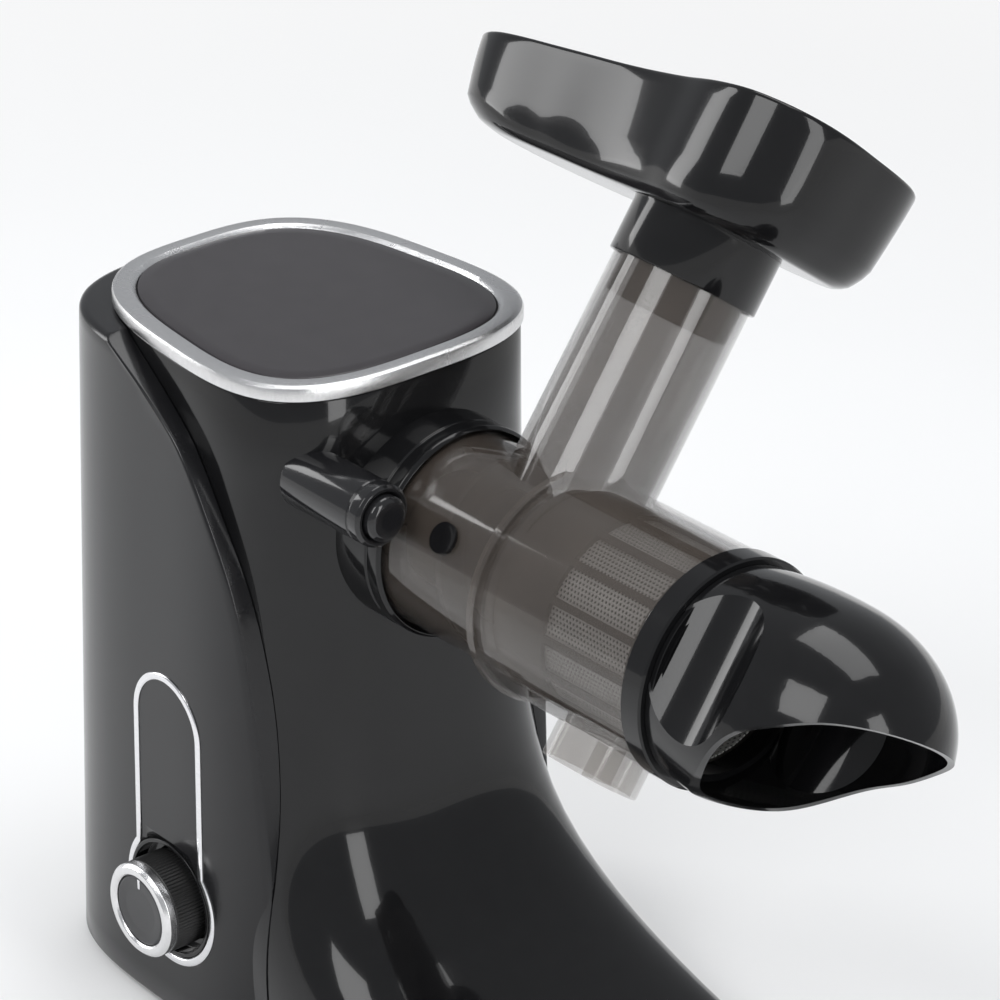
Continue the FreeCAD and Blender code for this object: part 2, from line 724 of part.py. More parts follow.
def turnedShape(outline):
    points = [Vector(along, radius, 0) for along, radius in outline]
    points.append(points[0])
    return Part.Face(Part.makePolygon(points)).revolve(Vector(0, 0, 0), Vector(1, 0, 0), 360.0)


def ovalPrism(centre, length, width, low, high):
    half = width / 2.0
    reach = length / 2.0 - half
    rear = Part.makeCylinder(half, high - low, Vector(centre - reach, 0, low), Vector(0, 0, 1))
    front = Part.makeCylinder(half, high - low, Vector(centre + reach, 0, low), Vector(0, 0, 1))
    middle = Part.makeBox(2.0 * reach, width, high - low, Vector(centre - reach, -half, low))
    return rear.fuse(front).fuse(middle).removeSplitter()


def onDrum(name, shape, label):
    item = formed(name, shape)
    place(item, (nothing, nothing, axisZ), tilted=True)
    return keep(item, label)


def makeDrum():
    wall = dim("drumWall").value
    rearR, frontR = dim("drumRearRadius").value, dim("drumFrontRadius").value
    rearX, frontX = dim("drumRearX").value, dim("drumFrontX").value
    seam, seamW, proud = dim("drumSeamX").value, dim("seamWidth").value, dim("seamProud").value
    spigotX = dim("lockRingX").value - 0.3
    spigot = dim("spigotRadius").value
    outside = turnedShape([(rearX, 0), (rearX, rearR), (seam - 6, rearR), (seam - seamW / 2, frontR),
                           (seam - seamW / 2, frontR + proud), (seam + seamW / 2, frontR + proud),
                           (seam + seamW / 2, frontR), (spigotX, frontR), (spigotX, spigot),
                           (frontX, spigot), (frontX, 0)])
    inside = turnedShape([(rearX - 1, 0), (rearX - 1, rearR - wall), (seam - 4, rearR - wall),
                          (seam + 2, spigot - wall + 2), (frontX + 1, spigot - wall + 2), (frontX + 1, 0)])
    chuteX, chuteR = dim("chuteX").value, dim("chuteRadius").value
    chuteBoreR = chuteR - dim("chuteWall").value
    chute = Part.makeCylinder(chuteR, dim("chuteTop").value, Vector(chuteX, 0, 0))
    chuteBore = Part.makeCylinder(chuteBoreR, dim("chuteTop").value + 1, Vector(chuteX, 0, 0))
    spoutX = dim("spoutX").value
    spoutL, spoutW, spoutT = dim("spoutLength").value, dim("spoutWidth").value, dim("spoutWall").value
    drain = ovalPrism(spoutX, spoutL - 2 * spoutT, spoutW - 2 * spoutT, -frontR - 2, 0)
    shell = outside.fuse(chute).cut(inside).cut(chuteBore).cut(drain).removeSplitter()
    onDrum("drumShell", shell, "drum_shell")
    outer = ovalPrism(spoutX, spoutL, spoutW, -dim("spoutDrop").value, 0)
    inner = ovalPrism(spoutX, spoutL - 2 * spoutT, spoutW - 2 * spoutT, -dim("spoutDrop").value - 1, 0)
    rib = Part.makeBox(spoutT, spoutW - 2 * spoutT + 0.2, dim("spoutDrop").value - frontR + 2.0,
                       Vector(spoutX + 3.0, -(spoutW - 2 * spoutT + 0.2) / 2.0, -dim("spoutDrop").value))
    spout = outer.cut(inner).cut(discAlong(frontR + 0.02, rearX, frontX))
    spout = spout.fuse(rib.cut(discAlong(frontR + 0.02, rearX, frontX))).removeSplitter()
    onDrum("juiceSpout", spout, "juice_spout")

    lug = Part.makeCylinder(dim("markRadius").value, 8.0,
                            Vector(rearX + 47.0, -rearR - 1.6, -4.0), Vector(0, 1, 0))
    lug = lug.cut(discAlong(rearR + 0.02, rearX, seam))
    onDrum("markLobe", lug, "mark_lobe")


makeDrum()

turnGap = dim("turnGap")
ringX, ringEnd = dim("lockRingX"), dim("lockRingX") + dim("lockRingWidth")
drumEnd = dim("drumFrontX")
lock = turned("lockRing", "X", [
    (ringX, dim("spigotRadius") + turnGap), (ringX, dim("lockRingRadius") - 0.8),
    (ringX + 0.8, dim("lockRingRadius")), (ringEnd - 0.8, dim("lockRingRadius")),
    (ringEnd, dim("lockRingRadius") - 0.8), (ringEnd, dim("spigotRadius") - 1.6),
    (drumEnd + turnGap, dim("spigotRadius") - 1.6), (drumEnd + turnGap, dim("spigotRadius") + turnGap)])
place(lock, (nothing, nothing, axisZ), tilted=True)
keep(lock, "lock_ring")


def noseProfile(inset):
    """Half outline of the beak, drawn from its neck to its tip."""
    radius = dim("noseRadius").value - inset
    shoulder = dim("noseShoulderX").value
    reach = dim("noseTipX").value - inset - shoulder
    steps = 7
    points = [Vector(ringEnd.value + turnGap.value, dim("noseNeckRadius").value - inset, 0),
              Vector(ringEnd.value + 14.0, dim("noseRadius").value - 1.0 - inset, 0)]
    for step in range(steps + 1):
        share = math.sin(0.5 * math.pi * step / steps)
        fall = math.cos(0.5 * math.pi * step / steps)
        points.append(Vector(shoulder + reach * share ** 0.87, radius * fall, 0))
    return points


def noseSolid(inset):
    points = noseProfile(inset)
    curve = Part.BSplineCurve()
    curve.interpolate(points)
    start, tip = points[0], points[-1]
    edges = [curve.toShape(), Part.makeLine(tip, Vector(start.x, 0, 0)),
             Part.makeLine(Vector(start.x, 0, 0), start)]
    return Part.Face(Part.Wire(edges)).revolve(Vector(0, 0, 0), Vector(1, 0, 0), 360.0)


def noseScoops(grow):
    """Finger scoops on both sides, hollowed by upright drums."""
    radius = dim("scoopRadius").value + grow
    offset = dim("noseRadius").value - dim("scoopDepth").value + dim("scoopRadius").value
    tools = []
    for side in (-1, 1):
        tools.append(Part.makeCylinder(radius, 90.0, Vector(dim("scoopX").value, side * offset, -60.0),
                                       Vector(0, 0, 1)).common(
            Part.makeSphere(radius * 1.25, Vector(dim("scoopX").value, side * (offset - 8.0),
                                                  -dim("scoopHeight").value))))
    return tools[0].fuse(tools[1])


def outletCut():
    """What lies below the outlet's edge, as it is seen from the side."""
    edge = [(ringEnd.value + 3.5, -dim("noseRadius").value - 0.5), (275.0, -43.5), (285.0, -37.0), (292.0, -29.0),
            (299.0, -21.0), (306.0, -15.0), (318.0, -8.0), (333.0, 1.0), (346.0, 7.0),
            (dim("noseTipX").value + 6.0, 13.0)]
    points = [Vector(x, 0, z) for x, z in edge]
    curve = Part.BSplineCurve()
    curve.interpolate(points)
    low = Vector(points[-1].x, 0, -80.0)
    rear = Vector(points[0].x, 0, -80.0)
    wire = Part.Wire([curve.toShape(), Part.makeLine(points[-1], low), Part.makeLine(low, rear),
                      Part.makeLine(rear, points[0])])
    prism = Part.Face(wire).extrude(Vector(0, 140.0, 0))
    prism.translate(Vector(0, -70.0, 0))
    return prism


def makeNose():
    wall = dim("noseWall").value
    outside = noseSolid(0.0).cut(noseScoops(0.0))
    inside = noseSolid(wall).cut(noseScoops(wall))
    shell = outside.cut(inside).cut(outletCut())
    neckX = ringEnd.value + turnGap.value
    neckR = dim("spigotRadius").value - 1.6 - turnGap.value
    neck = discAlong(neckR, drumEnd.value, neckX + 3.0).cut(discAlong(neckR - wall, drumEnd.value - 1, neckX + 4.0))
    web = discAlong(dim("noseNeckRadius").value - 0.5, neckX, neckX + 2.2).cut(
        discAlong(neckR - wall, neckX - 1, neckX + 4.0))
    shell = shell.fuse(neck).fuse(web).removeSplitter()
    onDrum("noseCap", shell, "nose_cap")


makeNose()


def makeStrainer():
    radius, wall = dim("strainerRadius").value, dim("strainerWall").value
    start, end = dim("strainerX").value, dim("drumFrontX").value - 0.5
    mesh = dim("meshThickness").value
    frame = discAlong(radius, start, end).cut(discAlong(radius - wall, start - 1, end + 1))
    windows = 16
    firstWindow = 0.81
    for index in range(windows):
        window = Part.makeBox(dim("windowLength").value, dim("windowWidth").value, 20.0,
                              Vector(dim("windowX").value, -dim("windowWidth").value / 2.0, radius - 10.0))
        window.rotate(Vector(0, 0, 0), Vector(1, 0, 0), 360.0 * (index + firstWindow) / windows)
        frame = frame.cut(window)
    onDrum("strainerFrame", frame, "strainer_frame")
    inner = radius - wall - 0.05
    sleeve = discAlong(inner, start + 4, end - 2).cut(discAlong(inner - mesh, start, end))
    onDrum("strainerMesh", sleeve, "strainer_mesh")


makeStrainer()


def makeAuger():
    """Hollow-hubbed core with one long helical flight that closes up against the strainer."""
    rear, front = dim("augerRearX").value, dim("augerFrontX").value
    coreRear, coreFront = dim("augerCoreRear").value, dim("augerCoreFront").value
    tip = front + 6.0
    shaftR = dim("driveShaftRadius").value
    core = turnedShape([(rear, shaftR), (rear, coreRear), (front - 12, coreFront), (front, coreFront - 4),
                        (front, 10.0), (tip, 8.0), (tip, 0), (shaftFront.value, 0),
                        (shaftFront.value, shaftR)])
    thick = dim("flightThickness").value
    radius = dim("augerRadius").value
    length = front - rear - 26.0
    helix = Part.makeHelix(dim("augerPitch").value, length, radius - 8.0)
    band = Part.makePolygon([Vector(coreRear - 4.0, 0, -thick / 2.0), Vector(radius, 0, -thick / 2.0 + 1.0),
                             Vector(radius, 0, thick / 2.0 - 1.0), Vector(coreRear - 4.0, 0, thick / 2.0),
                             Vector(coreRear - 4.0, 0, -thick / 2.0)])
    flight = Part.Wire(helix.Edges).makePipeShell([band], True, True)
    flight.rotate(Vector(0, 0, 0), Vector(0, 1, 0), 90.0)
    flight.translate(Vector(rear + 8.0, 0, 0))
    return core.fuse(flight).common(discAlong(radius, rear - 1, tip + 1))


auger = formed("auger", makeAuger())
place(auger, (nothing, nothing, axisZ))
keep(auger, "auger")


# Food tray with its collar and neck

def trayWire(height, scale, inset=0.0):
    """The tray's outline: narrow at the rear, wide at the front with a waist between."""
    front, rear = dim("trayFront").value, dim("trayRear").value
    half, rearHalf = dim("trayHalfWidth").value, dim("trayRearHalfWidth").value
    side = [(front, 0.0), (front * 0.97, half * 0.5), (front * 0.82, half * 0.82), (front * 0.55, half),
            (front * 0.22, half * 0.97), (-rear * 0.07, half * 0.82), (-rear * 0.28, half * 0.7),
            (-rear * 0.55, rearHalf * 1.12), (-rear * 0.82, rearHalf * 0.98), (-rear * 0.955, rearHalf * 0.6),
            (-rear, 0.0)]
    outline = side + [(x, -y) for x, y in reversed(side[1:-1])]
    pitch = math.tan(math.radians(dim("trayPitch").value))
    roll = math.tan(math.radians(dim("trayRoll").value))
    points = []
    count = len(outline)
    for index, (x, y) in enumerate(outline):
        before, after = outline[index - 1], outline[(index + 1) % count]
        along = math.hypot(after[0] - before[0], after[1] - before[1])
        x = scale * x - inset * (after[1] - before[1]) / along
        y = scale * y + inset * (after[0] - before[0]) / along
        rise = (x * pitch + y * roll) * (height - dim("trayBottom").value) / (
            dim("trayRim").value - dim("trayBottom").value)
        points.append(Vector(dim("chuteX").value + x, y, height + rise))
    curve = Part.BSplineCurve()
    curve.interpolate(points, True)
    return Part.Wire([curve.toShape()])


def makeTray():
    low, rim, wall = dim("trayBottom").value, dim("trayRim").value, dim("trayWall").value
    outside = Part.makeLoft([trayWire(low, 0.8), trayWire(low + 3.0, 0.88), trayWire(low + 12.0, 0.955),
                             trayWire(rim, 1.0)], True, False)
    inside = Part.makeLoft([trayWire(low + wall, 0.8, wall), trayWire(low + wall + 3.0, 0.88, wall),
                            trayWire(low + wall + 11.0, 0.955, wall), trayWire(rim + 0.4, 1.0, wall)],
                           True, False)
    chuteX = dim("chuteX").value
    tubeR = dim("chuteRadius").value
    tubeBore = tubeR - dim("chuteWall").value
    collar = Part.makeCylinder(dim("collarRadius").value, low + 2.0 - dim("collarBottom").value,
                               Vector(chuteX, 0, dim("collarBottom").value))
    slot = Part.makeCylinder(tubeR + 0.4, dim("chuteTop").value + 0.3 - dim("neckBottom").value,
                             Vector(chuteX, 0, dim("neckBottom").value))
    neckR = tubeBore - 0.4
    neck = Part.makeCylinder(neckR, low + 2.0 - dim("neckBottom").value,
                             Vector(chuteX, 0, dim("neckBottom").value))
    bore = Part.makeCylinder(neckR - dim("neckWall").value, 120.0, Vector(chuteX, 0, dim("neckBottom").value - 1.0))
    tray = outside.cut(inside).fuse(collar.cut(slot)).fuse(neck).cut(bore).removeSplitter()
    onDrum("foodTray", tray, "food_tray")


makeTray()


def makeScrews():
    """Screws up through the base plate into the housing, as one group."""
    low = dim("groundClear").value
    spots = [(-40, -58), (-40, 58), (60, -66), (60, 66), (190, 0)]
    solids = []
    for x, y in spots:
        head = Part.makeCone(2.4, 3.4, 1.6, Vector(x, y, low - 1.6))
        solids.append(head)
    keep(formed("baseScrews", Part.makeCompound(solids)), "base_screws")


makeScrews()

doc.recompute()

broken = []
for item in doc.Objects:
    if "Invalid" in item.State or "Error" in item.State:
        broken.append("%s (%s)" % (item.Label, item.Name))
for label, item in pieces.items():
    shape = item.Shape
    if shape.isNull() or not shape.isValid() or not shape.Solids:
        broken.append("%s has no valid solid" % label)
if broken:
    raise RuntimeError("failed pieces: " + "; ".join(broken))

for label, item in pieces.items():
    item.Shape.exportStep("parts/%s.step" % label)
print("%d pieces written" % len(pieces))
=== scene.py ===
import math
import bmesh
import bpy
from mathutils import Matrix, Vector


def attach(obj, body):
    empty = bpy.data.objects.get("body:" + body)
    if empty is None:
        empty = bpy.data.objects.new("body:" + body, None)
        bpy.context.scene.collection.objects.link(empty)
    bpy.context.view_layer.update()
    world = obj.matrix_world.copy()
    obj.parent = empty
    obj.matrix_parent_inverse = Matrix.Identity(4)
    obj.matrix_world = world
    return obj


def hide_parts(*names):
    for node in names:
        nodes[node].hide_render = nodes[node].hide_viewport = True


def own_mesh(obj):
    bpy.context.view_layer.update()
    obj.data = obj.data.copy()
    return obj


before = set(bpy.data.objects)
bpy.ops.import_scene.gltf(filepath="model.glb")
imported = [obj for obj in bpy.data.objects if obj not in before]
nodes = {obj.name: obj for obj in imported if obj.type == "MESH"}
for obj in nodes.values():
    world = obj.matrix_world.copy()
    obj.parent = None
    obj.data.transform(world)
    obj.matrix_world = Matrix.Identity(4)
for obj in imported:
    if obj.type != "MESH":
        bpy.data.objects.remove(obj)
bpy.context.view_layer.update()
millimetre = 0.001
print("frame loaded with", len(nodes), "nodes")

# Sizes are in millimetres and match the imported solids. The origin is on the table, under the tower.
# Drum pieces are drawn with the chute upright about the drum's axis, then tilted to rest.

drum = dict(axis=241.5, tilt=36.0)
even = (1.0, 1.0, 1.0)  # a pattern stretched no way
roundSteps = 144
weldDistance = 0.002 * millimetre


def tilted(x, y, z):
    turn = math.radians(drum["tilt"])
    across = y * math.cos(turn) + z * math.sin(turn)
    up = -y * math.sin(turn) + z * math.cos(turn)
    return Vector((x, across, up + drum["axis"])) * millimetre


def upright(x, y, z):
    return Vector((x, y, z)) * millimetre


def signedPower(value, power):
    return math.copysign(abs(value) ** power, value)


# Plan curves of the tower and the cover: a soft rectangle for each height

tower = dict(top=305.0, halfLength=79.0, frontHalf=79.0, rearHalf=61.0, flare=4.0, wall=3.0,
             footFront=240.0, footHalf=81.0, edge=19.0, sweepStart=190.0, low=5.0,
             power=3.1, footPower=4.6, steps=192,
             toeDraw=0.02, steepShare=0.8, steepPower=5.5,
             levels=[5.9, 7.0, 10.0, 13.0, 15.5, 17.5, 18.6, 19.4, 20.6, 22.5, 25.0, 28.0, 32.0, 37.0, 43.0,
                     50.0, 58.0, 67.0, 77.0, 88.0, 100.0, 113.0, 127.0, 142.0, 158.0, 174.0, 190.0,
                     215.0, 240.0, 270.0])
cover = dict(rear=90.0, rearHalf=74.0, frontHalf=84.0, flare=8.0, frontFlare=3.0, top=304.0,
             low=5.0, power=3.4, gap=0.5, reach=12.0, lip=1.2, steps=150, rows=60, rowSpread=0.8,
             back=2.4, lipShare=0.4, ease=0.35, easeShare=0.3,
             rounding=[(2.4, 0.1), (1.3, 0.5), (0.5, 1.4), (0.1, 2.6), (0.05, 3.4)],
             edge=[(-2.0, 68.6), (40.0, 67.2), (90.0, 65.4), (135.2, 62.5), (180.0, 57.8), (218.0, 50.0),
                   (248.0, 36.5), (274.0, 18.5), (287.0, 0.0), (296.5, -18.0), (304.0, -36.0),
                   (314.0, -60.0)])


def planSizes(front, rear, frontHalf, rearHalf, power):
    return dict(front=front, rear=rear, frontHalf=frontHalf, rearHalf=rearHalf, power=power)


def towerSweep(height):
    edge, start = tower["edge"], tower["sweepStart"]
    if height >= start:
        return 0.0
    if height <= edge:
        return 1.0 - tower["toeDraw"] * ((edge - height) / edge) ** 2
    rest = 1.0 - (height - edge) / (start - edge)
    steep = tower["steepShare"]
    return steep * rest ** tower["steepPower"] + (1.0 - steep) * rest ** 2


def towerSizes(height, grow=0.0):
    spread = tower["flare"] * (1.0 - height / tower["top"])
    share = towerSweep(height)
    frontHalf = tower["frontHalf"] + spread
    frontHalf += (tower["footHalf"] - frontHalf) * share
    return planSizes(tower["halfLength"] + (tower["footFront"] - tower["halfLength"]) * share + grow,
                     -tower["halfLength"] - spread - grow, frontHalf + grow,
                     tower["rearHalf"] + spread + grow,
                     tower["power"] + (tower["footPower"] - tower["power"]) * share)


def coverSizes(height, grow=0.0):
    spread = 1.0 - height / tower["top"]
    return planSizes(tower["halfLength"] + cover["reach"] + grow,
                     -cover["rear"] - cover["flare"] * spread - grow,
                     cover["frontHalf"] + cover["frontFlare"] * spread + grow,
                     cover["rearHalf"] + cover["flare"] * spread + grow, cover["power"])


def planWidth(sizes, x):
    share = (x - sizes["rear"]) / (tower["halfLength"] - sizes["rear"])
    soft = 0.15  # how early the widening eases off
    if share > 1.0 + soft:
        share = 1.0
    elif share > 1.0 - soft:
        share -= (share - 1.0 + soft) ** 2 / (4.0 * soft)
    return sizes["rearHalf"] + (sizes["frontHalf"] - sizes["rearHalf"]) * share


def planSpot(sizes, angle):
    middle = (sizes["front"] + sizes["rear"]) / 2.0
    half = (sizes["front"] - sizes["rear"]) / 2.0
    x = middle + half * signedPower(math.cos(angle), 2.0 / sizes["power"])
    return x, planWidth(sizes, x) * signedPower(math.sin(angle), 2.0 / sizes["power"])


def planAngle(sizes, x):
    middle = (sizes["front"] + sizes["rear"]) / 2.0
    half = (sizes["front"] - sizes["rear"]) / 2.0
    along = max(-1.0, min(1.0, (x - middle) / half))
    return math.acos(signedPower(along, sizes["power"] / 2.0))


def planRing(sizes, height, steps):
    ring = []
    for step in range(steps):
        x, y = planSpot(sizes, 2.0 * math.pi * step / steps)
        ring.append(upright(x, y, height))
    return ring


def finishMesh(name, work, crease):
    bmesh.ops.remove_doubles(work, verts=work.verts, dist=weldDistance)
    bmesh.ops.recalc_face_normals(work, faces=work.faces)
    limit = math.radians(crease)
    for face in work.faces:
        face.smooth = True
    for edge in work.edges:
        if len(edge.link_faces) == 2:
            edge.smooth = edge.calc_face_angle(0.0) < limit
    mesh = bpy.data.meshes.new(name)
    work.to_mesh(mesh)
    work.free()
    item = bpy.data.objects.new(name, mesh)
    bpy.context.collection.objects.link(item)
    return item


def ringEdges(work, ring):
    return [work.edges.get((ring[index - 1], vert)) for index, vert in enumerate(ring)]


def nextRing(work, ring, points):
    # The ring is extruded, and each new vertex is put at its point
    made = set(bmesh.ops.extrude_edge_only(work, edges=ringEdges(work, ring))["geom"])
    after = []
    for vert, point in zip(ring, points):
        twin = next(other for other in (edge.other_vert(vert) for edge in vert.link_edges) if other in made)
        twin.co = point
        after.append(twin)
    return after


def loft(name, rings, crease=40.0, loop=False, caps=False):
    # A circle takes the first ring's points and is extruded from ring to ring, and welded where it closes
    work = bmesh.new()
    first = list(bmesh.ops.create_circle(work, cap_ends=False, segments=len(rings[0]), radius=1.0)["verts"])
    for vert, point in zip(first, rings[0]):
        vert.co = point
    last = first
    for points in rings[1:] + (rings[:1] if loop else []):
        last = nextRing(work, last, points)
    if caps:
        for ring in (first, last):
            bmesh.ops.edgeloop_fill(work, edges=ringEdges(work, ring))
    return finishMesh(name, work, crease)


def softened(outline, radius):
    # Corners off the axis are rounded with a few short steps
    parts = 4
    smooth = []
    count = len(outline)
    for index, (along, out) in enumerate(outline):
        corner = Vector((along, out))
        before = Vector(outline[index - 1]) - corner
        after = Vector(outline[(index + 1) % count]) - corner
        if out <= 0.0:
            smooth.append((along, out))
            continue
        cut = min(radius, 0.45 * before.length, 0.45 * after.length)
        start = corner + before.normalized() * cut
        end = corner + after.normalized() * cut
        for part in range(parts + 1):
            share = part / parts
            spot = start * (1.0 - share) ** 2 + corner * 2.0 * share * (1.0 - share)
            spot += end * share ** 2
            smooth.append((spot.x, spot.y))
    return smooth


def pressRibs(work, centre, ribs):
    # The grip's side is drawn in by the wave of its ribs
    for vert in work.verts:
        x, along, z = vert.co / millimetre
        across, up = x - centre[0], z - centre[1]
        radius = math.hypot(across, up)
        if ribs["start"] <= along <= ribs["end"] and radius > ribs["inside"]:
            wave = 0.5 + 0.5 * math.cos(ribs["count"] * math.atan2(up, across))
            share = (radius - ribs["depth"] * wave) / radius
            vert.co = upright(centre[0] + across * share, along, centre[1] + up * share)


def spun(name, axis, centre, outline, steps=roundSteps, ribs=None):
    # The outline stands beside the axis, X or Y, and is spun right round it
    alongX = axis == "X"
    work = bmesh.new()
    verts = []
    for along, radius in outline:
        if alongX:
            verts.append(work.verts.new(upright(along, centre[0] + radius, centre[1])))
        else:
            verts.append(work.verts.new(upright(centre[0] + radius, along, centre[1])))
    edges = []
    for index, vert in enumerate(verts):
        if max(outline[index - 1][1], outline[index][1]) > 0.0:
            edges.append(work.edges.new((verts[index - 1], vert)))
    middle = upright(0.0, *centre) if alongX else upright(centre[0], 0.0, centre[1])
    turn = (1.0, 0.0, 0.0) if alongX else (0.0, -1.0, 0.0)
    bmesh.ops.spin(work, geom=verts + edges, cent=middle, axis=turn, angle=2.0 * math.pi, steps=steps,
                   use_merge=True)
    if ribs:
        pressRibs(work, centre, ribs)
    return finishMesh(name, work, 40.0)


def slab(name, low, high, radius):
    work = bmesh.new()
    bmesh.ops.create_cube(work, size=1.0)
    for vert in work.verts:
        share = vert.co + Vector((0.5, 0.5, 0.5))
        vert.co = upright(*[low[axis] + (high[axis] - low[axis]) * share[axis] for axis in range(3)])
    bmesh.ops.bevel(work, geom=list(work.edges), offset=radius * millimetre, offset_type="OFFSET",
                    segments=3, profile=0.5, affect="EDGES", material=-1)
    return finishMesh(name, work, 40.0)


# Finishes

class Reading:
    def __init__(self, shading, socket):
        self.shading = shading
        self.socket = socket

    def work(self, operation, first, second=None):
        sockets = {0: first} if second is None else {0: first, 1: second}
        node = self.shading.make("ShaderNodeMath", sockets, operation=operation)
        return Reading(self.shading, node.outputs[0])

    def __add__(self, other):
        return self.work("ADD", self, other)

    def __radd__(self, other):
        return self.work("ADD", other, self)

    def __sub__(self, other):
        return self.work("SUBTRACT", self, other)

    def __rsub__(self, other):
        return self.work("SUBTRACT", other, self)

    def __mul__(self, other):
        return self.work("MULTIPLY", self, other)

    def __rmul__(self, other):
        return self.work("MULTIPLY", other, self)

    def __truediv__(self, other):
        return self.work("DIVIDE", self, other)

    def __rtruediv__(self, other):
        return self.work("DIVIDE", other, self)

    def fraction(self):
        return self.work("FRACT", self)

    def floor(self):
        return self.work("FLOOR", self)

    def root(self):
        return self.work("SQRT", self)

    def clamped(self):
        return self.work("MINIMUM", self.work("MAXIMUM", self, 0.0), 1.0)

    def above(self, limit):
        return self.work("GREATER_THAN", self, limit)

    def angleFrom(self, other):
        return self.work("ARCTAN2", self, other)


class Shading:
    def __init__(self, tree):
        self.tree = tree

    def make(self, kind, sockets=None, **settings):
        node = self.tree.nodes.new(kind)
        for setting, value in settings.items():
            setattr(node, setting, value)
        for socket, value in (sockets or {}).items():
            self.feed(node.inputs[socket], value)
        return node

    def feed(self, socket, value):
        if isinstance(value, Reading):
            self.tree.links.new(value.socket, socket)
        elif isinstance(value, bpy.types.NodeSocket):
            self.tree.links.new(value, socket)
        else:
            socket.default_value = value


class Finish(Shading):
    def __init__(self, name, **constants):
        self.material = bpy.data.materials.new(name)
        self.material.use_nodes = True
        super().__init__(self.material.node_tree)
        self.shader = [node for node in self.tree.nodes if node.type == "BSDF_PRINCIPLED"][0]
        self.place = self.make("ShaderNodeTexCoord").outputs["Object"]
        for socket, value in constants.items():
            self.shader.inputs[socket.replace("_", " ")].default_value = value

    def noise(self, scale, stretch=even, detail=3.0):
        mapping = self.make("ShaderNodeMapping", {"Vector": self.place, "Scale": stretch})
        texture = self.make("ShaderNodeTexNoise", {"Vector": mapping.outputs["Vector"], "Scale": scale,
                                                   "Detail": detail})
        return Reading(self, texture.outputs["Fac"])

    def axes(self):
        node = self.make("ShaderNodeSeparateXYZ", {0: self.place})
        return [Reading(self, output) for output in node.outputs]

    def blend(self, factor, first, second):
        # Sockets 6 and 7 hold the two colours
        node = self.make("ShaderNodeMix", {0: factor, 6: (*first, 1.0), 7: (*second, 1.0)}, data_type="RGBA")
        return node.outputs[2]

    def set(self, socket, value):
        self.feed(self.shader.inputs[socket], value)

    def bump(self, height, strength, depth):
        node = self.make("ShaderNodeBump", {"Height": height, "Strength": strength, "Distance": depth})
        self.set("Normal", node.outputs["Normal"])


def worked(name, deep, pale, rough, tone=(90.0, even), skin=(900.0, even, 0.05), **constants):
    # Tone varies the colour, a broad film of handling varies the gloss, and skin is the fine relief
    filmScale, filmDetail, skinDetail, skinDepth = 14.0, 5.0, 4.0, 0.0004
    finish = Finish(name, **constants)
    finish.set("Base Color", finish.blend(finish.noise(tone[0], tone[1]), deep, pale))
    film = finish.noise(filmScale, detail=filmDetail)
    finish.set("Roughness", rough[0] + film * (rough[1] - rough[0]))
    finish.bump(finish.noise(skin[0], skin[1], skinDetail), skin[2], skinDepth)
    return finish


def meshFinish():
    # Rows of small round holes, staggered, about the drum's axis
    finish = worked("perforatedSteel", (0.62, 0.61, 0.59), (0.80, 0.79, 0.76), (0.30, 0.42),
                    (60.0, even), (1500.0, even, 0.1), Metallic=0.35)
    x, y, z = finish.axes()
    pitch, radius = 0.0019, 0.039  # metres
    hole = 0.33  # share of the pitch
    around = y.angleFrom(z - drum["axis"] * millimetre) * (radius / pitch)
    row = around.floor()
    along = (x / pitch + row * 0.5).fraction() - 0.5
    across = around.fraction() - 0.5
    away = (along * along + across * across).root()
    finish.set("Alpha", away.above(hole))
    return finish


def smokedFinish(name, deep, pale, cover, streak):
    # Smoked clear plastic: the wall's own density drifts a little along the moulding
    finish = worked(name, deep, pale, (0.05, 0.11), (30.0, even), (500.0, even, 0.02),
                    Coat_Weight=1.0, Coat_Roughness=0.03, IOR=1.5)
    density = finish.noise(24.0, streak)
    finish.set("Alpha", cover[0] + density * (cover[1] - cover[0]))
    return finish


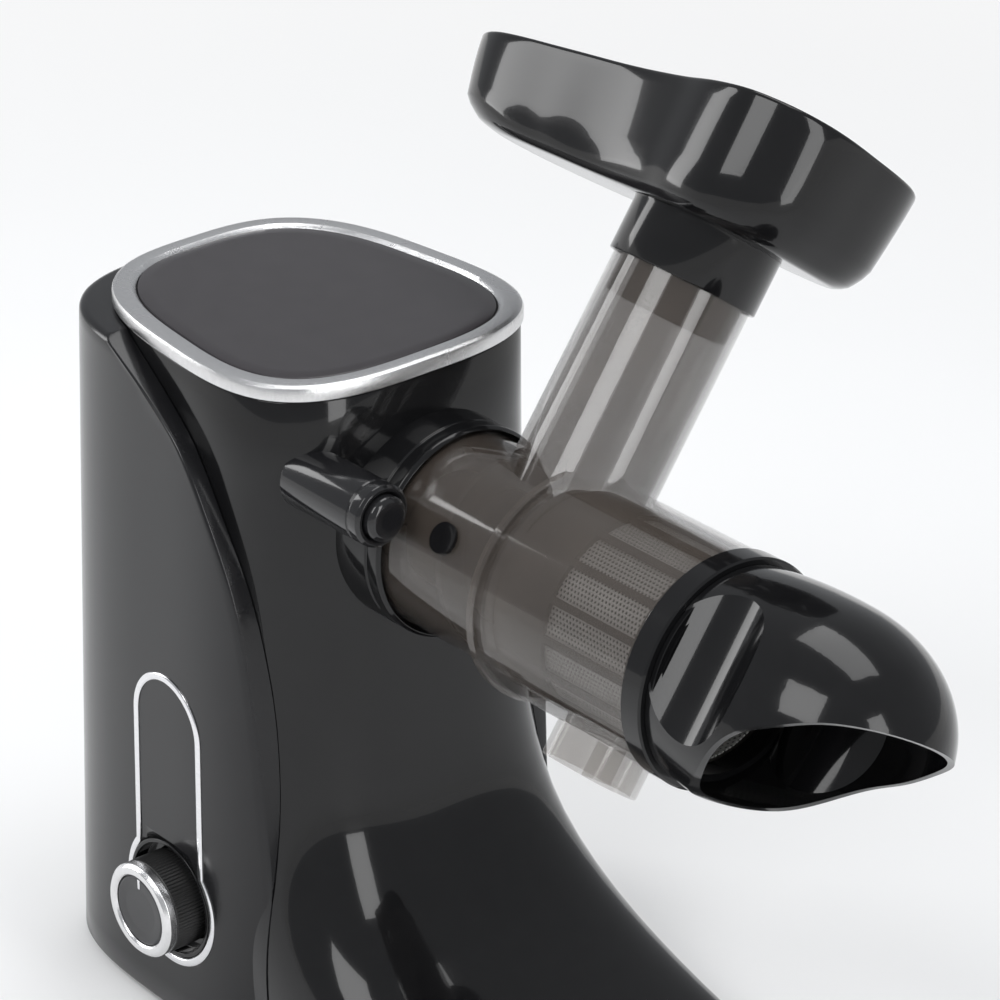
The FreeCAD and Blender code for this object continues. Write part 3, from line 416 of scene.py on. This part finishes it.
finishes = {
    "pianoBlack": worked("pianoBlack", (0.0045, 0.0045, 0.005), (0.0075, 0.0075, 0.008), (0.10, 0.18),
                         Specular_IOR_Level=0.12, Coat_Weight=0.42, Coat_Roughness=0.03),
    "coverBlack": worked("coverBlack", (0.007, 0.007, 0.008), (0.011, 0.011, 0.012), (0.20, 0.28),
                         skin=(2600.0, even, 0.08), Specular_IOR_Level=0.14, Coat_Weight=0.38,
                         Coat_Roughness=0.12),
    "brushedSilver": worked("brushedSilver", (0.56, 0.56, 0.57), (0.76, 0.76, 0.76), (0.22, 0.32),
                            (260.0, (1.0, 12.0, 1.0)), (900.0, (0.4, 14.0, 1.0), 0.18), Metallic=1.0),
    "topGrey": worked("topGrey", (0.026, 0.023, 0.026), (0.036, 0.033, 0.036), (0.26, 0.34),
                      skin=(2200.0, even, 0.08), Specular_IOR_Level=0.25, Coat_Weight=0.25,
                      Coat_Roughness=0.15),
    "mouldedBlack": worked("mouldedBlack", (0.016, 0.016, 0.016), (0.028, 0.028, 0.028), (0.42, 0.56),
                           skin=(1800.0, even, 0.25)),
    "footRubber": worked("footRubber", (0.014, 0.014, 0.014), (0.026, 0.026, 0.026), (0.66, 0.82),
                         skin=(1500.0, even, 0.4)),
    "glossGrey": worked("glossGrey", (0.008, 0.008, 0.009), (0.014, 0.014, 0.015), (0.10, 0.18),
                        Specular_IOR_Level=0.2, Coat_Weight=0.55, Coat_Roughness=0.05),
    "gripBlack": worked("gripBlack", (0.008, 0.008, 0.008), (0.018, 0.018, 0.018), (0.34, 0.48),
                        skin=(2400.0, even, 0.2)),
    "knobSilver": worked("knobSilver", (0.62, 0.62, 0.63), (0.82, 0.82, 0.82), (0.16, 0.26),
                         (300.0, (10.0, 1.0, 1.0)), (1200.0, (12.0, 0.6, 1.0), 0.14), Metallic=1.0),
    "knobDark": worked("knobDark", (0.016, 0.016, 0.018), (0.030, 0.030, 0.032), (0.30, 0.40),
                       skin=(2400.0, even, 0.12)),
    "trimSilver": worked("trimSilver", (0.66, 0.66, 0.68), (0.82, 0.82, 0.83), (0.14, 0.22),
                         (200.0, (1.0, 1.0, 8.0)), (1400.0, (1.0, 1.0, 0.2), 0.08), Metallic=1.0),
    "framePlastic": worked("framePlastic", (0.022, 0.019, 0.017), (0.036, 0.032, 0.028), (0.30, 0.42)),
    "screwPlastic": worked("screwPlastic", (0.020, 0.018, 0.017), (0.035, 0.032, 0.030), (0.28, 0.40),
                           skin=(1200.0, even, 0.2)),
    "zincSteel": worked("zincSteel", (0.36, 0.36, 0.37), (0.55, 0.55, 0.54), (0.30, 0.44),
                        (240.0, (6.0, 1.0, 1.0)), (1300.0, (1.0, 8.0, 8.0), 0.2), Metallic=0.9),
    "windingCopper": worked("windingCopper", (0.40, 0.17, 0.08), (0.62, 0.30, 0.15), (0.28, 0.42),
                            (700.0, (0.2, 6.0, 6.0)), (1100.0, (0.2, 6.0, 6.0), 0.6), Metallic=0.8),
    "gearNylon": worked("gearNylon", (0.66, 0.63, 0.56), (0.76, 0.73, 0.67), (0.42, 0.56)),
    "boardGreen": worked("boardGreen", (0.015, 0.12, 0.05), (0.03, 0.20, 0.09), (0.28, 0.42),
                         (500.0, (1.0, 4.0, 1.0))),
    "smokedDrum": smokedFinish("smokedDrum", (0.050, 0.041, 0.035), (0.100, 0.083, 0.070), (0.36, 0.52),
                               (1.0, 0.4, 0.4)),
    "clearSpout": smokedFinish("clearSpout", (0.16, 0.14, 0.12), (0.26, 0.23, 0.20), (0.22, 0.34),
                               (1.0, 1.0, 0.5)),
    "perforatedSteel": meshFinish(),
}
print("finishes made:", len(finishes))


def fit(item, finish, body, stands=()):
    item.data.materials.append(finishes[finish].material)
    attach(item, body)
    if stands:
        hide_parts(*stands)
    return item


# Tower, foot, ring and panel

crown = dict(overhang=1.0, width=9.0, height=7.0, drop=0.8, gap=0.3)


def makeTowerBody():
    low, top, inset, steps = tower["low"], tower["top"], -tower["wall"] - 1.0, tower["steps"]
    foot = [(low + 3.0, inset), (low, inset), (low, -0.9), (low + 0.3, -0.3)]
    head = [(top - 0.2, -0.3), (top, -0.9), (top, -6.0)]
    rings = [planRing(towerSizes(low, grow), height, steps) for height, grow in foot]
    rings += [planRing(towerSizes(level), level, steps) for level in tower["levels"]]
    rings.append(planRing(towerSizes(top - 0.8), top - 0.8, steps))
    rings += [planRing(towerSizes(top, grow), height, steps) for height, grow in head]
    body = loft("towerBody", rings, 50.0, caps=True)
    fit(body, "pianoBlack", "base", ["front_housing"])


def makeCrown():
    top, steps = tower["top"], tower["steps"]
    outer, inner = crown["overhang"], crown["overhang"] - crown["width"]
    height = crown["height"]
    section = [(outer - 0.8, 0.0), (outer, 0.8), (outer, height - 2.0), (outer - 0.5, height - 0.8),
               (outer - 1.6, height - 0.1), (outer - 2.2, height), (inner + 2.2, height),
               (inner + 1.7, height - 0.1), (inner + 0.2, height - 1.6), (inner, height - 1.9), (inner, 0.0)]
    rings = [planRing(towerSizes(top, grow), top + rise, steps) for grow, rise in section]
    fit(loft("crownRing", rings, 32.0, loop=True), "brushedSilver", "base", ["top_ring"])
    edge = inner - crown["gap"]
    level = height - crown["drop"]
    section = [(edge, 0.0), (edge, level - 1.0), (edge - 0.3, level - 0.3), (edge - 1.0, level),
               (edge - 6.0, level), (edge - 30.0, level)]
    rings = [planRing(towerSizes(top, grow), top + rise, steps) for grow, rise in section]
    fit(loft("crownPanel", rings, 40.0, caps=True), "topGrey", "base", ["top_panel"])


# Rear cover and its sweeping front edge

def coverEdge(height):
    spots = cover["edge"]
    for index in range(len(spots) - 1):
        (low, start), (high, end) = spots[index], spots[index + 1]
        if low <= height <= high:
            before = spots[max(0, index - 1)]
            after = spots[min(len(spots) - 1, index + 2)]
            share = (height - low) / (high - low)
            slopeStart = (end - before[1]) / (high - before[0]) * (high - low)
            slopeEnd = (after[1] - start) / (after[0] - low) * (high - low)
            square, cube = share ** 2, share ** 3
            return ((2 * cube - 3 * square + 1) * start + (cube - 2 * square + share) * slopeStart
                    + (3 * square - 2 * cube) * end + (cube - square) * slopeEnd)
    return spots[-1][1]


def coverRow(height, inset=0.0, flat=False):
    # One closed loop: the edge, round the rear to the other edge, and back along the tower's wall
    sizes = coverSizes(height, -inset)
    core = towerSizes(height, cover["gap"])
    edge = coverEdge(height)
    steps = cover["steps"]
    back = edge - cover["back"]
    outerStart, coreStart = planAngle(sizes, back), planAngle(core, back)
    outer, inner = [], []
    for step in range(steps + 1):
        share = step / steps
        outer.append(planSpot(sizes, outerStart + 2.0 * (math.pi - outerStart) * share))
        inner.append(planSpot(core, coreStart + 2.0 * (math.pi - coreStart) * share))
    coreY = planSpot(core, planAngle(core, edge))[1]
    faceY = planSpot(sizes, planAngle(sizes, edge))[1]
    drop = min(cover["lip"], abs(faceY - coreY) * cover["lipShare"])
    lip = [(edge, coreY), (edge, faceY - drop), (edge - cover["ease"], faceY - drop * cover["easeShare"]),
           (edge - cover["lip"], faceY)]
    if flat:
        outer = inner
        lip = [(x, coreY) for x, y in lip]
    spots = lip + outer + [(x, -y) for x, y in reversed(lip)] + list(reversed(inner))
    return [upright(x, y, height) for x, y in spots]


def cutAway(item, tool):
    # The tool's room is taken out of the piece, and the tool goes
    cut = item.modifiers.new("room", "BOOLEAN")
    cut.operation = "DIFFERENCE"
    cut.solver = "EXACT"
    cut.object = tool
    bpy.context.view_layer.update()
    shaped = bpy.data.meshes.new_from_object(item.evaluated_get(bpy.context.evaluated_depsgraph_get()))
    item.modifiers.clear()
    item.data = shaped
    bpy.data.objects.remove(tool)


knob = dict(x=6.0, z=60.0, radius=21.0, front=-100.9, ringRear=-95.9, rear=-78.9, shaft=3.0,
            ribs=84, ribSteps=8, ribDepth=0.5, dish=26.7, dishRear=-77.2, dishFloor=-78.4, dishFront=-84.5,
            hub=4.0, roomFront=-110.0, roomRear=-74.0, roomGap=0.2)


def makeCover():
    low, top = cover["low"], cover["top"]
    rows = [coverRow(low, flat=True), coverRow(low, 1.0), coverRow(low + 0.3, 0.3), coverRow(low + 1.0)]
    start, end = low + 1.0, top - 2.6
    for step in range(1, cover["rows"]):
        share = step / cover["rows"]
        rows.append(coverRow(start + (end - start) * share ** cover["rowSpread"]))
    for drop, inset in cover["rounding"]:
        rows.append(coverRow(top - drop, inset))
    rows.append(coverRow(top - cover["rounding"][-1][0], flat=True))
    item = loft("sideCover", rows, 50.0)
    radius = knob["dish"] + knob["roomGap"]
    room = spun("dishRoom", "Y", (knob["x"], knob["z"]),
                [(knob["roomFront"], 0.0), (knob["roomFront"], radius), (knob["roomRear"], radius),
                 (knob["roomRear"], 0.0)])
    cutAway(item, room)
    fit(item, "coverBlack", "base", ["rear_cover"])


def coverFace(x, z):
    sizes = coverSizes(z)
    return -abs(planSpot(sizes, planAngle(sizes, x))[1])


trim = dict(width=3.2, top=166.0, half=22.0, proud=0.8, disc=28.9, straight=30, arch=48, around=96)


def trimPath():
    # Up one side, over the arch, down the other side and round the knob
    half, disc, straight = trim["half"], trim["disc"], trim["straight"]
    archZ = trim["top"] - half - trim["width"] / 2.0
    joint = knob["z"] + math.sqrt(disc ** 2 - half ** 2)
    path = []
    for step in range(straight):
        path.append((knob["x"] + half, joint + (archZ - joint) * step / straight))
    for step in range(trim["arch"]):
        angle = math.pi * step / trim["arch"]
        path.append((knob["x"] + half * math.cos(angle), archZ + half * math.sin(angle)))
    for step in range(straight + 1):
        path.append((knob["x"] - half, archZ + (joint - archZ) * step / straight))
    start = math.atan2(joint - knob["z"], -half)
    sweep = 2.0 * math.pi - 2.0 * (start - math.pi / 2.0)
    for step in range(1, trim["around"]):
        angle = start + sweep * step / trim["around"]
        path.append((knob["x"] + disc * math.cos(angle), knob["z"] + disc * math.sin(angle)))
    return path


def makeTrim():
    path, width, proud = trimPath(), trim["width"], trim["proud"]
    section = [(-0.5, -1.2), (-0.5, 0.35), (-0.40, 0.68), (-0.28, proud), (0.28, proud), (0.40, 0.68),
               (0.5, 0.35), (0.5, -1.2)]
    rings = []
    for index, (x, z) in enumerate(path):
        before, after = Vector(path[index - 1]), Vector(path[(index + 1) % len(path)])
        run = (after - before).normalized()
        ring = []
        for across, out in section:
            spotX = x - run.y * across * width
            spotZ = z + run.x * across * width
            ring.append(upright(spotX, coverFace(spotX, spotZ) - out, spotZ))
        rings.append(ring)
    fit(loft("trimLoop", rings, 32.0, loop=True), "trimSilver", "base", ["side_trim"])


makeTowerBody()
makeCrown()
makeCover()
makeTrim()
print("tower, crown, cover and trim made")


# Knob and its dish

def makeKnob():
    spot = (knob["x"], knob["z"])
    radius, front, ringRear, rear = knob["radius"], knob["front"], knob["ringRear"], knob["rear"]
    grip = softened([(rear, knob["shaft"]), (rear, radius - 0.8), (rear - 1.2, radius),
                     (ringRear + 0.8, radius), (ringRear, radius - 0.8), (ringRear, knob["shaft"])], 0.5)
    ribs = dict(count=knob["ribs"], depth=knob["ribDepth"], start=ringRear + 0.9, end=rear - 1.0,
                inside=radius - 1.0)
    fit(spun("knobGrip", "Y", spot, grip, knob["ribs"] * knob["ribSteps"], ribs), "gripBlack", "knob",
        ["knob_grip"])
    bezel = softened([(ringRear, radius - 5.2), (ringRear, radius), (front + 1.6, radius),
                      (front, radius - 1.6), (front, radius - 4.2), (front + 1.0, radius - 5.2)], 0.35)
    fit(spun("knobBezel", "Y", spot, bezel), "knobSilver", "knob", ["knob_bezel"])
    face = softened([(ringRear, 0.0), (ringRear, radius - 5.4), (front + 1.4, radius - 5.4),
                     (front + 0.9, radius - 6.4), (front + 1.3, radius - 11.0), (front + 1.4, 0.0)], 0.3)
    fit(spun("knobFace", "Y", spot, face), "knobDark", "knob", ["knob_face"])
    pointer = slab("knobPointer", (knob["x"] - 0.7, front + 0.75, knob["z"] + 10.6),
                   (knob["x"] + 0.7, front + 1.6, knob["z"] + 15.2), 0.25)
    fit(pointer, "trimSilver", "knob")
    dish, hub = knob["dish"], knob["hub"]
    bowl = softened([(knob["dishRear"], hub), (knob["dishRear"], dish), (knob["dishFront"], dish),
                     (knob["dishFront"], dish - 1.7), (knob["dishFloor"], dish - 2.1),
                     (knob["dishFloor"], hub)], 0.4)
    fit(spun("knobDish", "Y", spot, bowl), "pianoBlack", "base", ["knob_dish"])


# Port collar, boss and release button

port = dict(bore=42.2, wall=3.1, rim=100.7, flange=60.0)
boss = dict(y=-51.5, z=270.0, radius=13.2, front=112.0, rear=63.5, button=9.5, proud=4.5, buttonRear=100.0)
spring = dict(start=67.5, end=99.9, coil=6.0, wire=0.6, turns=6, turnSteps=28, sides=10)


def makePort():
    outer = port["bore"] + port["wall"]
    rim, flange, bore = port["rim"], port["flange"], port["bore"]
    collar = softened([(flange, bore), (rim - 2.0, bore), (rim, bore + 1.5), (rim, outer - 1.2),
                       (rim - 1.4, outer), (rim - 7.0, outer), (rim - 7.4, outer - 0.5),
                       (rim - 8.2, outer - 0.5), (rim - 8.6, outer), (flange + 3.0, outer),
                       (flange + 3.0, outer + 3.0), (flange, outer + 3.0)], 0.35)
    fit(spun("portCollar", "X", (0.0, drum["axis"]), collar), "pianoBlack", "base", ["port_ring"])
    spot = (boss["y"], boss["z"])
    radius, front, rear, button = boss["radius"], boss["front"], boss["rear"], boss["button"]
    inner = button + 0.3
    sleeve = softened([(rear, inner), (front - 1.0, inner), (front, inner + 0.9), (front, radius - 1.3),
                       (front - 1.3, radius), (front - 6.0, radius), (front - 6.4, radius - 0.35),
                       (front - 7.0, radius - 0.35), (front - 7.4, radius), (rear, radius)], 0.3)
    fit(spun("buttonSleeve", "X", spot, sleeve), "glossGrey", "base", ["button_boss"])
    tip = front + boss["proud"]
    cap = softened([(boss["buttonRear"], 0.0), (boss["buttonRear"], button), (tip - 2.0, button),
                    (tip - 0.5, button - 1.8), (tip, button * 0.5), (tip - 0.5, 0.0)], 0.8)
    fit(spun("buttonCap", "X", spot, cap), "glossGrey", "release_button", ["release_button"])


def makeSpring():
    # The coil behind the button
    start, coil, wire, sides = spring["start"], spring["coil"], spring["wire"], spring["sides"]
    steps = spring["turns"] * spring["turnSteps"]
    rise = spring["end"] - start - 2.0 * wire
    rings = []
    for step in range(steps + 1):
        share = step / steps
        angle = 2.0 * math.pi * spring["turns"] * share
        ring = []
        for side in range(sides):
            lean = 2.0 * math.pi * side / sides
            reach = coil + wire * math.cos(lean)
            along = start + wire + rise * share + wire * math.sin(lean)
            ring.append(upright(along, boss["y"] + reach * math.cos(angle),
                                boss["z"] + reach * math.sin(angle)))
        rings.append(ring)
    item = fit(loft("buttonSpring", rings, 60.0, caps=True), "zincSteel", "base", ["button_spring"])
    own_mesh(item)


makeKnob()
makePort()
makeSpring()
print("knob, port and button made")


# Food tray with its collar and neck, as one skin that runs round the whole wall

tray = dict(chuteX=144.5, front=64.0, rear=150.0, half=52.0, rearHalf=30.0, pitch=4.5, roll=-4.0,
            bottom=151.0, rim=196.0, wall=2.6, collar=31.7, collarLow=127.2, slot=30.0, slotTop=150.3,
            neck=26.2, neckLow=112.0, bore=24.2, floorScale=0.78, arcSteps=8, swell=1.35,
            scales=[(0.0, 0.8), (3.0, 0.88), (12.0, 0.955), (45.0, 1.0)],
            lifts=[0.0, 0.6, 1.5, 3.0, 5.0, 8.0, 12.0, 17.0, 23.0, 29.0, 35.0, 40.0])


def trayOutline(scale, inset):
    # Half the outline is given as shares of the tray's reach and half widths, and mirrored
    parts = tray["arcSteps"]

    front, rear, half, rearHalf = tray["front"], tray["rear"], tray["half"], tray["rearHalf"]
    side = [(front, 0.0), (front * 0.97, half * 0.5), (front * 0.82, half * 0.82), (front * 0.55, half),
            (front * 0.22, half * 0.97), (-rear * 0.07, half * 0.82), (-rear * 0.28, half * 0.7),
            (-rear * 0.55, rearHalf * 1.12), (-rear * 0.82, rearHalf * 0.98),
            (-rear * 0.955, rearHalf * 0.6), (-rear, 0.0)]
    corners = side + [(x, -y) for x, y in reversed(side[1:-1])]
    count = len(corners)
    shifted = []
    for index, (x, y) in enumerate(corners):
        before, after = corners[index - 1], corners[(index + 1) % count]
        along = math.hypot(after[0] - before[0], after[1] - before[1])
        shifted.append(Vector((scale * x - inset * (after[1] - before[1]) / along,
                               scale * y + inset * (after[0] - before[0]) / along)))
    smooth = []
    for index in range(count):
        before, start = shifted[index - 1], shifted[index]
        end, after = shifted[(index + 1) % count], shifted[(index + 2) % count]
        length = (end - start).length
        slopeStart = (end - before) * (length / ((end - start).length + (start - before).length))
        slopeEnd = (after - start) * (length / ((after - end).length + (end - start).length))
        for part in range(parts):
            share = part / parts
            square, cube = share ** 2, share ** 3
            smooth.append(start * (2 * cube - 3 * square + 1) + slopeStart * (cube - 2 * square + share)
                          + end * (3 * square - 2 * cube) + slopeEnd * (cube - square))
    return smooth

def trayScale(height):
    lift = height - tray["bottom"]
    levels = tray["scales"]
    for (low, start), (high, end) in zip(levels, levels[1:]):
        if lift <= high:
            share = max(0.0, (lift - low) / (high - low))
            return start + (end - start) * (1.0 - (1.0 - share) ** tray["swell"])
    return levels[-1][1]


def trayRing(height, inset, scale=None):
    pitch, roll = math.tan(math.radians(tray["pitch"])), math.tan(math.radians(tray["roll"]))
    share = max(0.0, (height - tray["bottom"]) / (tray["rim"] - tray["bottom"]))
    ring = []
    for spot in trayOutline(trayScale(height) if scale is None else scale, inset):
        rise = (spot.x * pitch + spot.y * roll) * share
        ring.append(tilted(tray["chuteX"] + spot.x, spot.y, height + rise))
    return ring


def roundRing(height, radius):
    # A circle whose points lie in line with the outline's
    ring = []
    for spot in trayOutline(tray["scales"][0][1], 0.0):
        away = spot.normalized() * radius
        ring.append(tilted(tray["chuteX"] + away.x, away.y, height))
    return ring


def makeTray():
    low, rim, wall, bore, neck = tray["bottom"], tray["rim"], tray["wall"], tray["bore"], tray["neck"]
    neckLow, slot, slotTop = tray["neckLow"], tray["slot"], tray["slotTop"]
    collar, collarLow = tray["collar"], tray["collarLow"]
    floorLevel = low + wall
    stem = [(floorLevel - 0.2, bore), (neckLow + 0.4, bore), (neckLow, bore + 0.5), (neckLow, neck - 0.5),
            (neckLow + 0.5, neck), (slotTop, neck), (slotTop, slot), (collarLow + 0.4, slot),
            (collarLow, slot + 0.4), (collarLow, collar - 0.5), (collarLow + 0.5, collar),
            (low - 1.2, collar), (low - 0.2, collar + 0.3)]
    lipRows = [(-1.6, 0.0), (-0.6, 0.25), (0.0, 0.85), (0.1, 1.3), (0.0, 1.75), (-0.6, wall - 0.25),
               (-1.6, wall)]
    rings = [roundRing(height, radius) for height, radius in stem]
    rings.append(trayRing(low, 6.0, tray["floorScale"]))
    rings += [trayRing(low + lift, 0.0) for lift in tray["lifts"]]
    rings += [trayRing(rim + rise, inset) for rise, inset in lipRows]
    for lift in reversed(tray["lifts"]):
        rings.append(trayRing(floorLevel + lift, wall, trayScale(low + lift)))
    rings += [trayRing(floorLevel, wall + 6.0, tray["floorScale"]), roundRing(floorLevel, bore + 3.0),
              roundRing(floorLevel - 0.05, bore + 0.3)]
    fit(loft("foodTray", rings, 45.0, loop=True), "pianoBlack", "tray", ["food_tray"])


makeTray()
print("food tray made")


# Solids that show as they were packed, with their own finishes

carried = {
    "smokedDrum": ["drum_shell"],
    "clearSpout": ["juice_spout"],
    "pianoBlack": ["lock_ring", "nose_cap", "mark_lobe"],
    "perforatedSteel": ["strainer_mesh"],
    "framePlastic": ["strainer_frame"],
    "screwPlastic": ["auger"],
    "mouldedBlack": ["base_plate", "spring_stop", "rotary_switch", "gearbox_housing", "motor_stand",
                     "board_spacers", "interlock_switch"],
    "footRubber": ["rubber_foot_1", "rubber_foot_2", "rubber_foot_3", "rubber_foot_4", "rubber_foot_5",
                   "cord_gland"],
    "zincSteel": ["knob_shaft", "front_bearing", "drive_shaft", "counter_axle", "motor_pinion",
                  "motor_can", "motor_shaft", "base_screws"],
    "windingCopper": ["motor_rotor"],
    "gearNylon": ["output_gear", "counter_gear", "cooling_fan"],
    "boardGreen": ["circuit_board"],
}
for finish, names in carried.items():
    for name in names:
        mesh = nodes[name].data
        mesh.materials.clear()
        mesh.materials.append(finishes[finish].material)
print("carried solids finished")


# Studio

stage = dict(size=7.0, near=0.7, fade=0.9, roomColour=(0.80, 0.82, 0.85, 1.0), roomStrength=0.55)
view = dict(azimuth=49.32, elevation=26.67, away=1.799, target=(0.12185, 0.0, 0.26442), lens=163.85,
            sensor=36.0)


def makeStage():
    work = bmesh.new()
    bmesh.ops.create_grid(work, x_segments=1, y_segments=1, size=stage["size"])
    mesh = bpy.data.meshes.new("floorSheet")
    work.to_mesh(mesh)
    work.free()
    sheet = bpy.data.objects.new("floorSheet", mesh)
    bpy.context.collection.objects.link(sheet)
    paper = Finish("floorPaper", Roughness=0.75)
    paper.set("Base Color", paper.blend(paper.noise(3.0), (0.86, 0.86, 0.86), (0.89, 0.89, 0.89)))
    # Away from the object, rays that see the backdrop find it white, and near it the shadow stays
    x, y = paper.axes()[:2]
    far = ((x * x + y * y).root() - stage["near"]) / stage["fade"]
    path = paper.make("ShaderNodeLightPath")
    rays = ("Is Camera Ray", "Is Glossy Ray", "Is Transmission Ray")
    seen = sum(Reading(paper, path.outputs[ray]) for ray in rays)
    glow = paper.make("ShaderNodeEmission")
    mix = paper.make("ShaderNodeMixShader", {0: far.clamped() * seen.clamped(), 1: paper.shader.outputs[0],
                                             2: glow.outputs[0]})
    output = [node for node in paper.tree.nodes if node.type == "OUTPUT_MATERIAL"][0]
    paper.feed(output.inputs["Surface"], mix.outputs[0])
    sheet.data.materials.append(paper.material)


def makeLamp(name, spot, target, size, power):
    lamp = bpy.data.lights.new(name, "AREA")
    lamp.shape = "RECTANGLE"
    lamp.size, lamp.size_y = size
    lamp.energy = power
    item = bpy.data.objects.new(name, lamp)
    item.location = Vector(spot)
    item.rotation_euler = (Vector(target) - Vector(spot)).to_track_quat("-Z", "Y").to_euler()
    bpy.context.collection.objects.link(item)


def makeWorld():
    world = bpy.data.worlds.new("studio")
    bpy.context.scene.world = world
    world.use_nodes = True
    world.node_tree.nodes.clear()
    sky = Shading(world.node_tree)
    room = sky.make("ShaderNodeBackground", {"Color": stage["roomColour"],
                                             "Strength": stage["roomStrength"]})
    backdrop = sky.make("ShaderNodeBackground", {"Color": (*even, 1.0), "Strength": 1.0})
    path = sky.make("ShaderNodeLightPath")
    mix = sky.make("ShaderNodeMixShader", {0: path.outputs["Is Camera Ray"], 1: room.outputs[0],
                                           2: backdrop.outputs[0]})
    sky.make("ShaderNodeOutputWorld", {"Surface": mix.outputs[0]})


def makeCamera():
    around, above = math.radians(view["azimuth"]), math.radians(view["elevation"])
    back = Vector((math.sin(around) * math.cos(above), -math.cos(around) * math.cos(above), math.sin(above)))
    lens = bpy.data.cameras.new("camera")
    lens.lens = view["lens"]
    lens.sensor_width = view["sensor"]
    item = bpy.data.objects.new("camera", lens)
    item.location = Vector(view["target"]) + back * view["away"]
    item.rotation_euler = (-back).to_track_quat("-Z", "Y").to_euler()
    bpy.context.collection.objects.link(item)
    bpy.context.scene.camera = item


makeStage()
makeWorld()
middle = (0.08, 0.0, 0.22)
makeLamp("keyLamp", (0.4, -1.6, 1.9), middle, (1.2, 1.2), 26.0)
makeLamp("sideLamp", (-1.7, -0.9, 0.9), middle, (0.5, 1.6), 14.0)
makeLamp("frontLamp", (1.9, -0.1, 0.8), middle, (0.5, 1.4), 12.0)
makeLamp("topLamp", (0.1, 0.5, 2.1), middle, (1.6, 0.9), 18.0)
makeCamera()
bpy.context.scene.view_settings.view_transform = "Standard"
print("studio set")
